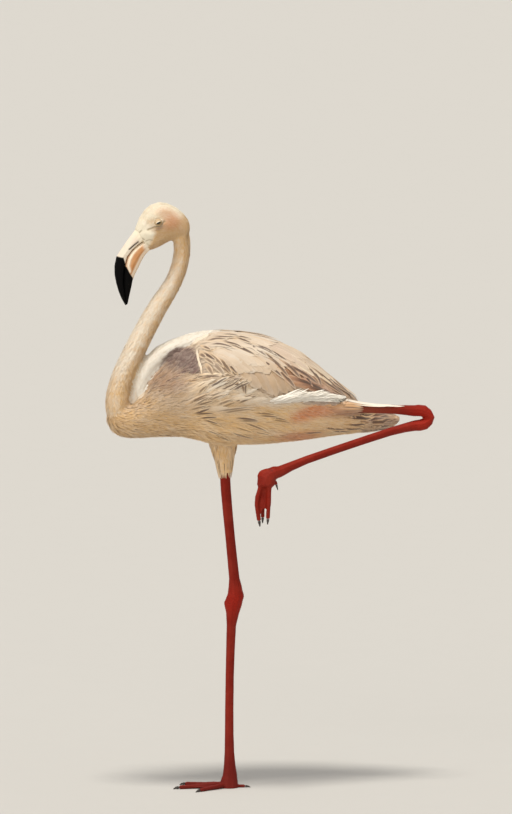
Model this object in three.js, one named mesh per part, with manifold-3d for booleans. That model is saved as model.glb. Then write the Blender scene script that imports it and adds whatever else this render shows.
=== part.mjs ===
// A flamingo at rest on its right leg, life size, with the left leg folded up beside the tail.
// Millimetres, +Z up. The bird faces -X, its left side faces -Y, and the origin is under the
// heel of the standing foot, on the ground.
import * as THREE from 'three';
import { mergeVertices } from 'three/addons/utils/BufferGeometryUtils.js';
import Module from 'manifold-3d';

const wasm = await Module();
wasm.setup();

// ---- driving dimensions ----
const gap = 0.3; // between neighbouring solids
const leastReach = 0.5; // of a section that is narrowed

// Body stations from breast to rump: x, height of the back, height of the belly, half width.
const bodyStations = [
  [-202, 606, 596, 7],
  [-197, 617, 583, 16],
  [-182, 624, 572, 26],
  [-164, 626, 568, 34],
  [-148, 640, 568, 39],
  [-131, 668, 569, 46],
  [-112, 688, 569, 56],
  [-88, 705, 569, 70],
  [-56, 725, 563, 85],
  [-20, 738.5, 554, 93],
  [40, 731, 553, 92],
  [105, 707, 557, 81],
  [173, 652, 565, 57],
  [214, 618, 568, 36],
];
const bodyWidest = 0.54; // share of the height at which the body is widest

const wingLift = 3; // how far the folded wing stands proud of the flank
const wingDepth = 8; // how far it reaches under the body's outline
const wingParting = 7; // half the strip of back left between the two wings
// The folded wing's edge seen from the side: x, z from the shoulder under the flank to the tip.
const wingEdge = [
  [-98, 702],
  [-86, 681],
  [-50, 668],
  [0, 661],
  [48, 641],
  [96, 629],
  [150, 622],
  [206, 612],
];
const wingTip = 16; // how far the tip reaches past the end of that edge
const wingShoulder = 34; // how far the front of the wing leans back from the edge to the top
const wingTop = 760; // above the back
const wingSpan = 130; // outside the flank

// Neck from the head down to the breast: x, z of the centre line, and the radius there.
const neckStations = [
  [-80, 899, 12.6],
  [-79, 884, 13.8],
  [-78.4, 862, 13.7],
  [-90, 822, 14],
  [-121, 773, 16.4],
  [-156, 708, 17.8],
  [-177, 662, 18.2],
  [-183.5, 630, 19.6],
  [-181, 600, 20],
];
// The root of the neck bows forward from the shoulders and down to the breast: x, z, radius.
const neckRootStations = [
  [-12, 724.5, 16],
  [-48, 722, 17.5],
  [-88, 712.5, 15.8],
  [-119, 697, 16],
  [-139, 669, 16.2],
  [-147, 641, 15.5],
  [-150, 612, 14],
];
const neckWidth = 1.06; // width of the neck over its depth
const neckCuts = [0, 0.3, 0.56, 0.78, 1]; // where the neck is divided, along its length

// Head from nape to bill: x, z of the crown, x, z of the chin or throat, half width.
const headStations = [
  [-66.5, 914, -66.5, 898, 12],
  [-75, 927, -73, 886, 19],
  [-93, 941, -89, 886, 23],
  [-113, 947, -104, 880.5, 25],
  [-131.5, 941.5, -118, 873, 23],
  [-144.5, 928, -126.5, 870, 18.5],
  [-155, 904.5, -133, 869, 12.5],
];
const eye = { x: -120.5, y: 19.5, z: 915.5, radius: 6 };

// Bill from base to tip: culmen, cutting edge and keel as x, z, then the half widths of the two halves.
const billStations = [
  { culmen: [-155, 904.5], edge: [-142, 883.5], keel: [-133, 869], upper: 12.3, lower: 11.5 },
  { culmen: [-173.5, 877], edge: [-155, 875.5], keel: [-141, 858], upper: 10.6, lower: 12 },
  { culmen: [-185.5, 859], edge: [-168, 859.5], keel: [-149.3, 841.5], upper: 9.6, lower: 12.4 },
  { culmen: [-188.2, 836], edge: [-173, 836], keel: [-157.6, 825], upper: 8.6, lower: 11 },
  { culmen: [-184.5, 815], edge: [-173.8, 814], keel: [-160.5, 811], upper: 7.4, lower: 8.6 },
  { culmen: [-178, 796], edge: [-171.5, 797], keel: [-164, 796.5], upper: 5.8, lower: 6.4 },
  { culmen: [-170, 781.5], edge: [-168.6, 782.5], keel: [-166.6, 784.5], upper: 3.6, lower: 3.4 },
];
const middling = 0.5; // the head and the tail are widest halfway up
const billWidest = { upper: 0.25, lower: 0.72 }; // share of each half's height at which it is widest

// Tail from root to tip: x, z of the top, z of the underside, half width.
const tailStations = [
  [186, 622, 569, 33],
  [212, 614, 568, 33],
  [246, 605, 570, 31],
  [268, 599, 577, 25],
  [276, 596, 586, 17],
];

// Standing leg: x, y, z of the centre line, half depth along X, half width along Y.
const standingThigh = [
  [-7, 26, 580, 29, 27],
  [-5.5, 23, 553, 25, 23],
  [-5.4, 21, 528, 15.2, 15],
  [-5, 19.5, 507, 10.6, 10.6],
];
const standingShank = [
  [-4.8, 21, 530, 8.6, 8],
  [-3.2, 17, 480, 8.3, 7.6],
  [2.8, 10, 400, 7.8, 7.2],
  [8.4, 6.6, 338, 8.6, 8],
];
const standingAnkle = [
  [8.4, 6.6, 338, 8.6, 8],
  [10, 5.8, 312, 12.8, 11.2],
  [6.6, 5.3, 297, 14.3, 12.6],
  [5.2, 5, 282, 10.8, 10.6],
  [3.2, 4.7, 262, 7.8, 7.6],
];
const standingTarsus = [
  [3.2, 4.7, 262, 7.8, 7.6],
  [0.4, 3.2, 190, 6.8, 6.2],
  [-1, 1.6, 104, 7, 6.2],
  [-0.8, 0.6, 50, 8.2, 7],
  [-0.2, 0, 19, 12, 9.5],
];

// Raised leg: x, y, z of the centre line, half height, half width.
const raisedThigh = [
  [-8, -64, 628, 20, 18],
  [40, -63, 626, 25, 24],
  [90, -58, 622, 23, 21],
  [140, -52, 618, 16, 15],
  [186, -48, 615, 9.6, 9.6],
];
const raisedShank = [
  [164, -50, 616, 7.4, 7.2],
  [215, -46, 612.5, 7.2, 7],
  [262, -42, 609.5, 7.3, 7],
  [293, -39.5, 606.5, 9.2, 8.6],
];
const raisedAnkle = [
  [293, -39.5, 606.5, 9.2, 8.6],
  [308, -38.4, 605.6, 9.8, 11],
  [319.5, -38, 595.2, 7.4, 12.4],
  [310, -38.4, 584.4, 9.8, 11.4],
  [294, -40.4, 582.5, 8.8, 8.4],
];
const raisedTarsus = [
  [294, -40.4, 582.5, 8.8, 8.4],
  [262, -47, 577, 6.8, 6.3],
  [184, -66, 557.5, 6.3, 6],
  [97, -85, 533.5, 6.6, 6.2],
  [61, -95, 520.5, 9.2, 7.8],
];

// Standing foot: the pad under the heel, and its toes spread flat on the ground. Each toe has its
// length without the claw, its turn from straight ahead in degrees, and its base and tip half widths.
const standingPad = [
  [-0.2, 0, 19, 12, 9.5],
  [-1.5, 0, 9, 14.5, 12.5],
  [-2, 0, -3, 16, 15],
];
const standingToes = {
  inner: { length: 66, turn: -33, base: 5, tip: 3.2, joints: 2 },
  middle: { length: 82, turn: 0, base: 5.4, tip: 3.4, joints: 3 },
  outer: { length: 75, turn: 31, base: 5, tip: 3.2, joints: 4 },
  hind: { length: 26, turn: 188, base: 3.4, tip: 2.6, joints: 1 },
};
const toeRest = 0.8; // height of a toe's middle over the ground, as a share of its half width
const toeBend = 0.4; // share of its length at which it comes down to rest
const toeRoot = { back: 6, high: 1.1 }; // where it starts: from the pad's middle, and its height there

// Raised foot: the folded pad, and the toes hanging closed, each as x, y, z of its centre line.
const raisedPad = [
  [61, -95, 520.5, 9.2, 7.8],
  [48, -97.5, 517.5, 11.5, 10.5],
  [38.5, -99, 508, 15.8, 12.5],
  [36.5, -100, 495, 13, 13],
];
const raisedToes = {
  inner: { path: [[38, -93, 503], [34.5, -92, 470], [34, -91, 447]], base: 4.6, tip: 3.2, joints: 2 },
  middle: { path: [[31, -101, 505], [22.5, -102, 474], [26, -102, 443]], base: 5.2, tip: 3.4, joints: 3 },
  outer: { path: [[42, -105, 502], [40, -109, 471], [38.5, -110, 447]], base: 4.8, tip: 3.2, joints: 4 },
  hind: { path: [[45, -97, 511], [53, -97.5, 506], [55, -97.5, 500]], base: 3.2, tip: 2.4, joints: 1 },
};
const knuckle = 0.09; // how much a toe swells at its joints
const toeFlatness = 0.92; // height of a toe over its width
const claw = { length: 9, base: 0.8, tip: 0.25, bend: 0.55 }; // base and tip as shares of the toe's tip
const web = { start: 0.12, reach: 0.93, hollow: 0.32, thickness: 1.6 }; // shares of the toes' length
const standingFoot = { clawDrop: 2, webSag: [0, 0, -1.2] };
const raisedFoot = { clawDrop: 0, webSag: [4, 0, 0] };

// ---- materials ----
const finish = (color, roughness) => new THREE.MeshStandardMaterial({ color, roughness, metalness: 0 });
const plumage = finish(0xe9d9c2, 0.85);
const wingPlumage = finish(0xddc9b1, 0.85);
const tailPlumage = finish(0xb99f80, 0.85);
const legSkin = finish(0xb0352a, 0.5);
const paleHorn = finish(0xeadbc9, 0.4);
const darkHorn = finish(0x1d1714, 0.35);
const eyeSurface = finish(0x3c3a26, 0.1);

// ---- solids ----
const step = 0.01; // share of a path over which its direction is taken
const up = new THREE.Vector3(0, 0, 1);
const across = new THREE.Vector3(0, 1, 0);

function solidOf(geometry) {
  const shape = geometry.clone();
  shape.deleteAttribute('normal');
  shape.deleteAttribute('uv');
  const merged = mergeVertices(shape, 1e-4);
  const vertProperties = new Float32Array(merged.attributes.position.array);
  const corners = merged.index.array;
  const triVerts = [];
  for (let i = 0; i < corners.length; i += 3) {
    const [a, b, c] = corners.slice(i, i + 3);
    if (a !== b && b !== c && c !== a) triVerts.push(a, b, c);
  }
  const mesh = new wasm.Mesh({ numProp: 3, vertProperties, triVerts: new Uint32Array(triVerts) });
  return new wasm.Manifold(mesh);
}

function geometryOf(solid) {
  const mesh = solid.getMesh();
  const geometry = new THREE.BufferGeometry();
  geometry.setAttribute('position', new THREE.BufferAttribute(new Float32Array(mesh.vertProperties), 3));
  geometry.setIndex(new THREE.BufferAttribute(new Uint32Array(mesh.triVerts), 1));
  geometry.computeVertexNormals();
  return geometry;
}

// A smooth line through [at, value] stops that never overshoots them.
function fairLine(stops) {
  const slopes = stops.slice(1).map(([x, y], i) => (y - stops[i][1]) / (x - stops[i][0]));
  const tangents = stops.map((_, i) => {
    if (i === 0) return slopes[0];
    if (i === stops.length - 1) return slopes[i - 1];
    const [before, after] = [slopes[i - 1], slopes[i]];
    return before * after <= 0 ? 0 : (2 * before * after) / (before + after);
  });
  return (x) => {
    let i = 0;
    while (i < stops.length - 2 && x > stops[i + 1][0]) i++;
    const [x0, y0] = stops[i];
    const [x1, y1] = stops[i + 1];
    const span = x1 - x0;
    const t = Math.min(1, Math.max(0, (x - x0) / span));
    const rise = (1 - t) ** 2 * (y0 * (1 + 2 * t) + span * tangents[i] * t);
    return rise + t * t * (y1 * (3 - 2 * t) - span * tangents[i + 1] * (1 - t));
  };
}

// One column of a table of stations as a fair line over 0 to 1.
function column(stations, index) {
  return fairLine(stations.map((row, i) => [i / (stations.length - 1), row[index]]));
}

function curveThrough(points) {
  return new THREE.CatmullRomCurve3(points.map((p) => new THREE.Vector3(...p)), false, 'centripetal');
}

// Where the rings of a sweep lie, as [share of the length, share of the section].
function ringStops(rings, startRound, endRound) {
  const capRings = 3;
  const caps = Array.from({ length: capRings - 1 }, (_, i) => ((i + 1) / capRings) * (Math.PI / 2));
  const stops = [];
  if (startRound > 0) caps.forEach((a) => stops.push([startRound * (1 - Math.cos(a)), Math.sin(a)]));
  for (let i = 0; i <= rings; i++) stops.push([startRound + (1 - startRound - endRound) * (i / rings), 1]);
  caps.reverse();
  if (endRound > 0) caps.forEach((a) => stops.push([1 - endRound * (1 - Math.cos(a)), Math.sin(a)]));
  return stops;
}

// A closed body through sections. sectionAt(t) gives the middle, the reach above and below it
// and the half width, and over where the section's own up isn't square to the path. Grow widens
// the body all round, and a negative grow narrows it, down to a least reach.
function sweep(sectionAt, { rings = 7, sides = 10, startRound = 0, endRound = 0, grow = 0, ease = 1 }) {
  const stops = ringStops(rings, startRound, endRound);
  const geometry = new THREE.SphereGeometry(1, sides, stops.length + 1);
  const position = geometry.attributes.position;
  const last = stops.length + 1;
  const at = (t) => sectionAt(Math.min(1, Math.max(0, t)) ** ease);
  for (let i = 0; i < position.count; i++) {
    const row = Math.floor(i / (sides + 1));
    const angle = (2 * Math.PI * (i % (sides + 1))) / sides;
    const [t, share] = row === 0 ? [0, 0] : row === last ? [1, 0] : stops[row - 1];
    const section = at(t);
    const along = at(t + step).middle.sub(at(t - step).middle).normalize();
    const over = section.over ?? new THREE.Vector3().crossVectors(across, along).normalize();
    const side = new THREE.Vector3().crossVectors(over, along).normalize();
    const high = Math.cos(angle);
    const reach = Math.max(leastReach, (high > 0 ? section.above : section.below) + grow);
    const wide = Math.max(leastReach, section.wide + grow);
    const place = section.middle.clone();
    place.addScaledVector(over, reach * high * share);
    place.addScaledVector(side, wide * Math.sin(angle) * share);
    if (row <= 1) place.addScaledVector(along, -Math.max(0, grow));
    if (row >= last - 1) place.addScaledVector(along, Math.max(0, grow));
    position.setXYZ(i, place.x, place.y, place.z);
  }
  return solidOf(geometry);
}

// Sections of a limb from its stations, each x, y, z, half height and half width.
function limb(stations, options = {}) {
  const path = curveThrough(stations.map(([x, y, z]) => [x, y, z]));
  const high = column(stations, 3);
  const wide = column(stations, 4);
  const sectionAt = (t) => ({ middle: path.getPoint(t), above: high(t), below: high(t), wide: wide(t) });
  return (grow = 0) => sweep(sectionAt, { ...options, grow });
}

// Sections between an upper and a lower outline in the middle plane.
function between(upper, lower, wide, widest, options) {
  const top = curveThrough(upper.map(([x, z]) => [x, 0, z]));
  const bottom = curveThrough(lower.map(([x, z]) => [x, 0, z]));
  const sectionAt = (t) => {
    const high = top.getPoint(t);
    const low = bottom.getPoint(t);
    const depth = high.distanceTo(low);
    const over = high.clone().sub(low).normalize();
    return {
      middle: low.clone().lerp(high, widest),
      above: depth * (1 - widest),
      below: depth * widest,
      wide: wide(t),
      over,
    };
  };
  return (grow = 0) => sweep(sectionAt, { ...options, grow });
}

function block(outline, nearY, farY) {
  const shape = new THREE.Shape(outline.map(([x, z]) => new THREE.Vector2(x, z)));
  const geometry = new THREE.ExtrudeGeometry(shape, { depth: farY - nearY, bevelEnabled: false });
  geometry.rotateX(Math.PI / 2);
  geometry.translate(0, farY, 0);
  return solidOf(geometry);
}

const flamingo = new THREE.Group();

function add(name, solid, material) {
  const mesh = new THREE.Mesh(geometryOf(solid), material);
  mesh.name = name;
  flamingo.add(mesh);
}

// ---- body, wings and tail ----
const back = fairLine(bodyStations.map((row) => [row[0], row[1]]));
const belly = fairLine(bodyStations.map((row) => [row[0], row[2]]));
const girth = fairLine(bodyStations.map((row) => [row[0], row[3]]));

function body(grow = 0) {
  const start = bodyStations[0][0];
  const length = bodyStations[bodyStations.length - 1][0] - start;
  const sectionAt = (t) => {
    const x = start + length * t;
    const depth = back(x) - belly(x);
    return {
      middle: new THREE.Vector3(x, 0, belly(x) + depth * bodyWidest),
      above: depth * (1 - bodyWidest),
      below: depth * bodyWidest,
      wide: girth(x),
      over: up,
    };
  };
  return sweep(sectionAt, { rings: 17, sides: 18, endRound: 0.02, grow, ease: 1.35 });
}

// The room that a folded wing takes, seen from the side, from the parting outwards.
function wingRoom(side, grow = 0) {
  const lower = wingEdge.map(([x, z]) => [x - grow, z - grow]);
  const [frontX] = lower[0];
  const [tipX, tipZ] = lower[lower.length - 1];
  const endX = tipX + wingTip + grow;
  const upper = [[endX, tipZ + wingLift], [endX, wingTop], [frontX + wingShoulder - grow, wingTop]];
  const outline = [...lower, ...upper];
  const inner = wingParting - grow;
  return side < 0 ? block(outline, -wingSpan, -inner) : block(outline, inner, wingSpan);
}

const neckPath = curveThrough(neckStations.map(([x, z]) => [x, 0, z]));
const neckRadius = column(neckStations, 2);

function neckLength(from, to, grow = 0, endRound = 0) {
  const sectionAt = (t) => {
    const s = from + (to - from) * t;
    const radius = neckRadius(s);
    return { middle: neckPath.getPoint(s), above: radius, below: radius, wide: radius * neckWidth };
  };
  return sweep(sectionAt, { rings: 6, sides: 12, endRound, grow });
}

const neckNames = ['neck_top', 'neck_upper', 'neck_lower', 'neck_base'];
const neckGap = gap / neckPath.getLength();

function neckPiece(i, grow = 0) {
  const isBase = i === neckNames.length - 1;
  return neckLength(neckCuts[i] + (i > 0 ? neckGap : 0), neckCuts[i + 1], grow, isBase ? 0.12 : 0);
}

const neckRoot = limb(
  neckRootStations.map(([x, z, radius]) => [x, 0, z, radius, radius * neckWidth]),
  { rings: 8, sides: 10, endRound: 0.08 },
);

const thighRight = limb(standingThigh, { rings: 4, sides: 10 });
const thighLeft = limb(raisedThigh, { rings: 5, sides: 10, startRound: 0.1, endRound: 0.03 });
const shankRight = limb(standingShank, { rings: 6 });
const shankLeft = limb(raisedShank, { rings: 6 });

const rump = body(gap);
const core = body(-wingDepth);
const coreUnderWing = body(-wingDepth - gap);
const wingShell = body(wingLift);
const wingShellRoom = body(wingLift + gap);

let trunk = body();
let tail = between(
  tailStations.map(([x, top]) => [x, top]),
  tailStations.map(([x, , under]) => [x, under]),
  column(tailStations, 3),
  middling,
  { rings: 5, sides: 14 },
)().subtract(rump);

for (const side of [-1, 1]) {
  const room = wingRoom(side, gap);
  trunk = trunk.subtract(room.subtract(coreUnderWing));
  tail = tail.subtract(wingShellRoom.intersect(room));
  let wing = wingShell.intersect(wingRoom(side)).subtract(core).subtract(neckRoot(gap));
  if (side < 0) wing = wing.subtract(thighLeft(gap)).subtract(shankLeft(gap));
  add(side < 0 ? 'wing_left' : 'wing_right', wing, wingPlumage);
}
for (const grownFrom of [neckRoot, thighRight, thighLeft, shankLeft]) trunk = trunk.subtract(grownFrom(gap));
neckNames.forEach((_, i) => (trunk = trunk.subtract(neckPiece(i, gap))));
add('trunk', trunk, plumage);
add('tail', tail, tailPlumage);

// ---- head, eyes and bill ----
const head = between(
  headStations.map(([x, z]) => [x, z]),
  headStations.map(([, , x, z]) => [x, z]),
  column(headStations, 4),
  middling,
  { rings: 8, sides: 14, startRound: 0.05 },
);

function eyeball(side, grow = 0) {
  const ball = new THREE.SphereGeometry(eye.radius + grow, 8, 6);
  ball.translate(eye.x, side * eye.y, eye.z);
  return solidOf(ball);
}

add('head', head().subtract(eyeball(-1, gap)).subtract(eyeball(1, gap)), plumage);
add('eye_left', eyeball(-1), eyeSurface);
add('eye_right', eyeball(1), eyeSurface);

function billHalf(upperEdge, lowerEdge, width, widest) {
  const wide = fairLine(billStations.map((row, i) => [i / (billStations.length - 1), row[width]]));
  const [upper, lower] = [upperEdge, lowerEdge].map((edge) => billStations.map((row) => row[edge]));
  return between(upper, lower, wide, widest, { rings: 9, sides: 10, endRound: 0.03 });
}
const upperHalf = billHalf('culmen', 'edge', 'upper', billWidest.upper);
const lowerHalf = billHalf('edge', 'keel', 'lower', billWidest.lower);
add('bill_upper', upperHalf().subtract(head(gap)), paleHorn);
add('bill_lower', lowerHalf().subtract(head(gap)).subtract(upperHalf(gap)), paleHorn);

// ---- neck ----
neckNames.forEach((name, i) => {
  const piece = neckPiece(i);
  add(name, i === 0 ? piece.subtract(head(gap)) : piece, plumage);
});
const looseNeck = [neckPiece(2, gap), neckPiece(3, gap)];
add('neck_root', looseNeck.reduce((solid, other) => solid.subtract(other), neckRoot()), plumage);

// ---- legs ----
// Each length of a leg gives way to the one above it, which keeps the gap between them.
const legs = {
  right: [thighRight, shankRight, limb(standingAnkle, { rings: 8 }), limb(standingTarsus)],
  left: [thighLeft, shankLeft, limb(raisedAnkle, { rings: 8 }), limb(raisedTarsus)],
};
for (const [side, [thigh, shank, ankle, tarsus]] of Object.entries(legs)) {
  add(`thigh_${side}`, thigh().subtract(shank(gap)), plumage);
  add(`shank_${side}`, shank(), legSkin);
  add(`ankle_${side}`, ankle().subtract(shank(gap)), legSkin);
  add(`tarsus_${side}`, tarsus().subtract(ankle(gap)), legSkin);
}

// ---- feet ----
const groundReach = 200; // wider and higher than the foot
const aboveGround = block(
  [[-groundReach, 0], [groundReach, 0], [groundReach, groundReach], [-groundReach, groundReach]],
  -groundReach,
  groundReach,
);

// A standing toe's centre line, from the middle of the pad along the ground.
function standingPath({ length, turn, base, tip }) {
  const angle = THREE.MathUtils.degToRad(turn);
  const [padX] = standingPad[standingPad.length - 1];
  const at = (distance, z) => [padX - distance * Math.cos(angle), distance * Math.sin(angle), z];
  const root = at(toeRoot.back, base * toeRoot.high);
  return [root, at(length * toeBend, base * toeRest), at(length, tip * toeRest)];
}

function toe(path, { base, tip, joints }) {
  const line = curveThrough(path);
  const sectionAt = (t) => {
    const swell = 1 + knuckle * Math.cos(2 * Math.PI * joints * t);
    const wide = (base + (tip - base) * t) * swell;
    const high = wide * toeFlatness;
    return { middle: line.getPoint(t), above: high, below: high, wide };
  };
  return (grow = 0) => sweep(sectionAt, { rings: joints + 2, sides: 7, endRound: 0.04, grow });
}

function clawOf(path, { tip }, drop) {
  const line = curveThrough(path);
  const end = line.getPoint(1);
  const along = end.clone().sub(line.getPoint(0.9)).normalize();
  const start = end.clone().addScaledVector(along, gap);
  const point = end.clone().addScaledVector(along, claw.length).addScaledVector(up, -drop);
  const bend = start.clone().lerp(point, claw.bend).addScaledVector(up, drop * (1 - claw.bend));
  const halfway = (claw.base + claw.tip) / 2;
  const stations = [[start, claw.base], [bend, halfway], [point, claw.tip]];
  return limb(
    stations.map(([place, share]) => [...place.toArray(), tip * share, tip * share]),
    { rings: 2, sides: 6 },
  )();
}

// A thin web between two toes, hollow at its front edge and sagging by the given vector.
function webBetween(pathA, pathB, sag) {
  const [lineA, lineB] = [curveThrough(pathA), curveThrough(pathB)];
  const sheet = (u, v) => {
    const reach = web.reach * (1 - web.hollow * Math.sin(Math.PI * u));
    const t = web.start + (reach - web.start) * v;
    const place = lineA.getPoint(t).lerp(lineB.getPoint(t), u);
    return place.addScaledVector(sag, Math.sin(Math.PI * u));
  };
  const geometry = new THREE.BoxGeometry(1, 1, 1, 3, 3, 1);
  const position = geometry.attributes.position;
  for (let i = 0; i < position.count; i++) {
    const [u, v] = [position.getX(i) + 0.5, position.getY(i) + 0.5];
    const acrossWeb = sheet(u + step, v).sub(sheet(u - step, v));
    const alongWeb = sheet(u, v + step).sub(sheet(u, v - step));
    const normal = acrossWeb.cross(alongWeb).normalize();
    const place = sheet(u, v).addScaledVector(normal, position.getZ(i) * web.thickness);
    position.setXYZ(i, place.x, place.y, place.z);
  }
  return solidOf(geometry);
}

function foot(side, pad, toes, pathOf, { clawDrop, webSag }) {
  const tarsus = legs[side][3];
  const stands = side === 'right';
  const trim = (solid) => (stands ? solid.intersect(aboveGround) : solid);
  const padAt = limb(pad, { rings: 4, endRound: stands ? 0 : 0.12 });
  const sag = new THREE.Vector3(...webSag);
  const solids = {};
  for (const [name, size] of Object.entries(toes)) solids[name] = toe(pathOf(size), size);
  add(`foot_${side}`, trim(padAt().subtract(tarsus(gap))), legSkin);
  const taken = [padAt(gap)];
  for (const name of ['middle', 'inner', 'outer', 'hind']) {
    const left = taken.reduce((solid, other) => solid.subtract(other), solids[name]());
    add(`toe_${side}_${name}`, trim(left), legSkin);
    add(`claw_${side}_${name}`, trim(clawOf(pathOf(toes[name]), toes[name], clawDrop)), darkHorn);
    taken.push(solids[name](gap));
  }
  for (const name of ['inner', 'outer']) {
    const sheet = webBetween(pathOf(toes[name]), pathOf(toes.middle), sag);
    add(`web_${side}_${name}`, trim(taken.reduce((solid, other) => solid.subtract(other), sheet)), legSkin);
  }
}
foot('right', standingPad, standingToes, standingPath, standingFoot);
foot('left', raisedPad, raisedToes, (size) => size.path, raisedFoot);

export default flamingo;
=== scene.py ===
# A pale young flamingo asleep on one leg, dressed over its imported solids. Metres, +Z up.
# The bird faces -X and its left side faces -Y. Lengths in the dictionaries below are millimetres.
import math

import bmesh
import bpy
import numpy as np
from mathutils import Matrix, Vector
from mathutils.bvhtree import BVHTree


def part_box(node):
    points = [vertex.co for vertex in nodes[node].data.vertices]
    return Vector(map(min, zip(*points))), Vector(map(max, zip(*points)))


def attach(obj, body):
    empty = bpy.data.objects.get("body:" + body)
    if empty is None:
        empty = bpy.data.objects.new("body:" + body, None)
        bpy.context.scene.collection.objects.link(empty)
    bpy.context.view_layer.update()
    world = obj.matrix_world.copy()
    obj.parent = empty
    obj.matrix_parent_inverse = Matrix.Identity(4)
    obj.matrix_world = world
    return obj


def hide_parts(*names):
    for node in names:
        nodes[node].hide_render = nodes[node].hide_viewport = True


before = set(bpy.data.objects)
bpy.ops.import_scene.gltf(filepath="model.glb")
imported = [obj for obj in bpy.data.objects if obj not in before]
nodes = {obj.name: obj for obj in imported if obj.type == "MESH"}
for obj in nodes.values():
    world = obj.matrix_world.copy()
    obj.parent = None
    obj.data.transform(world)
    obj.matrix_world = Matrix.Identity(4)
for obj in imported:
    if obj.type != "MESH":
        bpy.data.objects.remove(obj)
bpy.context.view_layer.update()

mm = 0.001

feet = ("middle", "inner", "outer", "hind")
neckNodes = ["neck_top", "neck_upper", "neck_lower", "neck_base", "neck_root"]
fleshNodes = ["trunk", "head", "tail", "wing_left", "wing_right", "thigh_left", "thigh_right"] + neckNodes
legNodes = {
    side: [f"{part}_{side}" for part in ("shank", "ankle", "tarsus", "foot")]
    + [f"toe_{side}_{toe}" for toe in feet]
    + [f"web_{side}_{toe}" for toe in ("inner", "outer")]
    for side in ("left", "right")
}
clawNodes = [f"claw_{side}_{toe}" for side in ("left", "right") for toe in feet]


def operator(operation, swapped=False):
    # a Math node as one of the operators of a Wire
    def apply(self, other):
        pair = (other, self) if swapped else (self, other)
        return self.bench.make("ShaderNodeMath", {"operation": operation}, dict(enumerate(pair)))

    return apply


class Wire:
    # one socket of a node tree, with the arithmetic that the trees use
    def __init__(self, bench, socket):
        self.bench = bench
        self.socket = socket

    __add__, __radd__ = operator("ADD"), operator("ADD", True)
    __sub__, __rsub__ = operator("SUBTRACT"), operator("SUBTRACT", True)
    __mul__, __rmul__ = operator("MULTIPLY"), operator("MULTIPLY", True)
    __truediv__, __rtruediv__ = operator("DIVIDE"), operator("DIVIDE", True)

    def absolute(self):
        return self.bench.make("ShaderNodeMath", {"operation": "ABSOLUTE"}, {0: self})

    def wave(self):
        return self.bench.make("ShaderNodeMath", {"operation": "SINE"}, {0: self})


class Bench:
    # a node tree: one method makes its nodes, and the rest are the nodes used most
    def __init__(self, tree):
        self.tree = tree

    def make(self, kind, settings=None, sockets=None, out=0):
        node = self.tree.nodes.new(kind)
        for name, value in (settings or {}).items():
            setattr(node, name, value)
        for key, value in (sockets or {}).items():
            target = self.find(node.inputs, key)
            if isinstance(value, Wire):
                self.tree.links.new(value.socket, target)
            else:
                target.default_value = value
        return Wire(self, self.find(node.outputs, out)) if len(node.outputs) else node

    @staticmethod
    def find(sockets, key):
        if isinstance(key, int):
            return sockets[key]
        return next(socket for socket in sockets if key in (socket.identifier, socket.name))

    def blend(self, amount, first, second):
        first, second = [value if isinstance(value, Wire) else (*value, 1) for value in (first, second)]
        settings = {"data_type": "RGBA", "clamp_factor": True}
        sockets = {"Factor_Float": amount, "A_Color": first, "B_Color": second}
        return self.make("ShaderNodeMix", settings, sockets, "Result_Color")

    def ramp(self, value, low, high):
        sockets = {"Value": value, "From Min": low, "From Max": high}
        return self.make("ShaderNodeMapRange", {"interpolation_type": "SMOOTHSTEP"}, sockets, "Result")

    def noise(self, place, scale, detail=2.0, roughness=0.5):
        sockets = {"Vector": place, "Scale": scale, "Detail": detail, "Roughness": roughness}
        return self.make("ShaderNodeTexNoise", {}, sockets, "Fac")

    def stretch(self, place, scale):
        return self.make("ShaderNodeMapping", {}, {"Vector": place, "Scale": scale})

    def attribute(self, name, out="Color"):
        return self.make("ShaderNodeAttribute", {"attribute_name": name}, {}, out)

    def parts(self, vector):
        split = self.tree.nodes.new("ShaderNodeSeparateXYZ")
        self.tree.links.new(vector.socket, split.inputs[0])
        return [Wire(self, socket) for socket in split.outputs]

    def place(self):
        return self.make("ShaderNodeTexCoord", {}, {}, "Object")

    def cracks(self, place, scale):
        settings = {"feature": "DISTANCE_TO_EDGE"}
        return self.make("ShaderNodeTexVoronoi", settings, {"Vector": place, "Scale": scale})

    def surface(self, colour, roughness, relief=None, more=None):
        # the finished surface, where relief is a height with its strength and its depth in mm
        sockets = {"Base Color": colour, "Roughness": roughness, **(more or {})}
        if relief:
            height, strength, depth = relief
            bump = {"Strength": strength, "Distance": depth * mm, "Height": height}
            sockets["Normal"] = self.make("ShaderNodeBump", {}, bump)
        return self.make("ShaderNodeBsdfPrincipled", {}, sockets)


def newMaterial(name, build):
    material = bpy.data.materials.new(name)
    material.use_nodes = True
    material.node_tree.nodes.clear()
    bench = Bench(material.node_tree)
    bench.make("ShaderNodeOutputMaterial", {}, {"Surface": build(bench)})
    return material


def newTree(name, inputs, output):
    # an empty Geometry Nodes tree, and a wire from each of its inputs
    group = bpy.data.node_groups.new(name, "GeometryNodeTree")
    for label, kind in inputs.items():
        group.interface.new_socket(label, in_out="INPUT", socket_type="NodeSocket" + kind)
    group.interface.new_socket(output, in_out="OUTPUT", socket_type="NodeSocketGeometry")
    given = group.nodes.new("NodeGroupInput")
    bench = Bench(group)
    return bench, {label: Wire(bench, given.outputs[label]) for label in inputs}


def smoothStep(value, low, high):
    share = np.clip((value - low) / (high - low), 0, 1)
    return share * share * (3 - 2 * share)


def unit(vectors):
    return vectors / np.maximum(np.linalg.norm(vectors, axis=-1, keepdims=True), 1e-9)


def bell(distance, reach):
    return np.exp(-((distance / reach) ** 2))


def gapTo(places, spot):
    return np.linalg.norm(places - np.array(spot), axis=1)


def newObject(name, mesh):
    piece = bpy.data.objects.new(name, mesh)
    bpy.context.scene.collection.objects.link(piece)
    return piece


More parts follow.
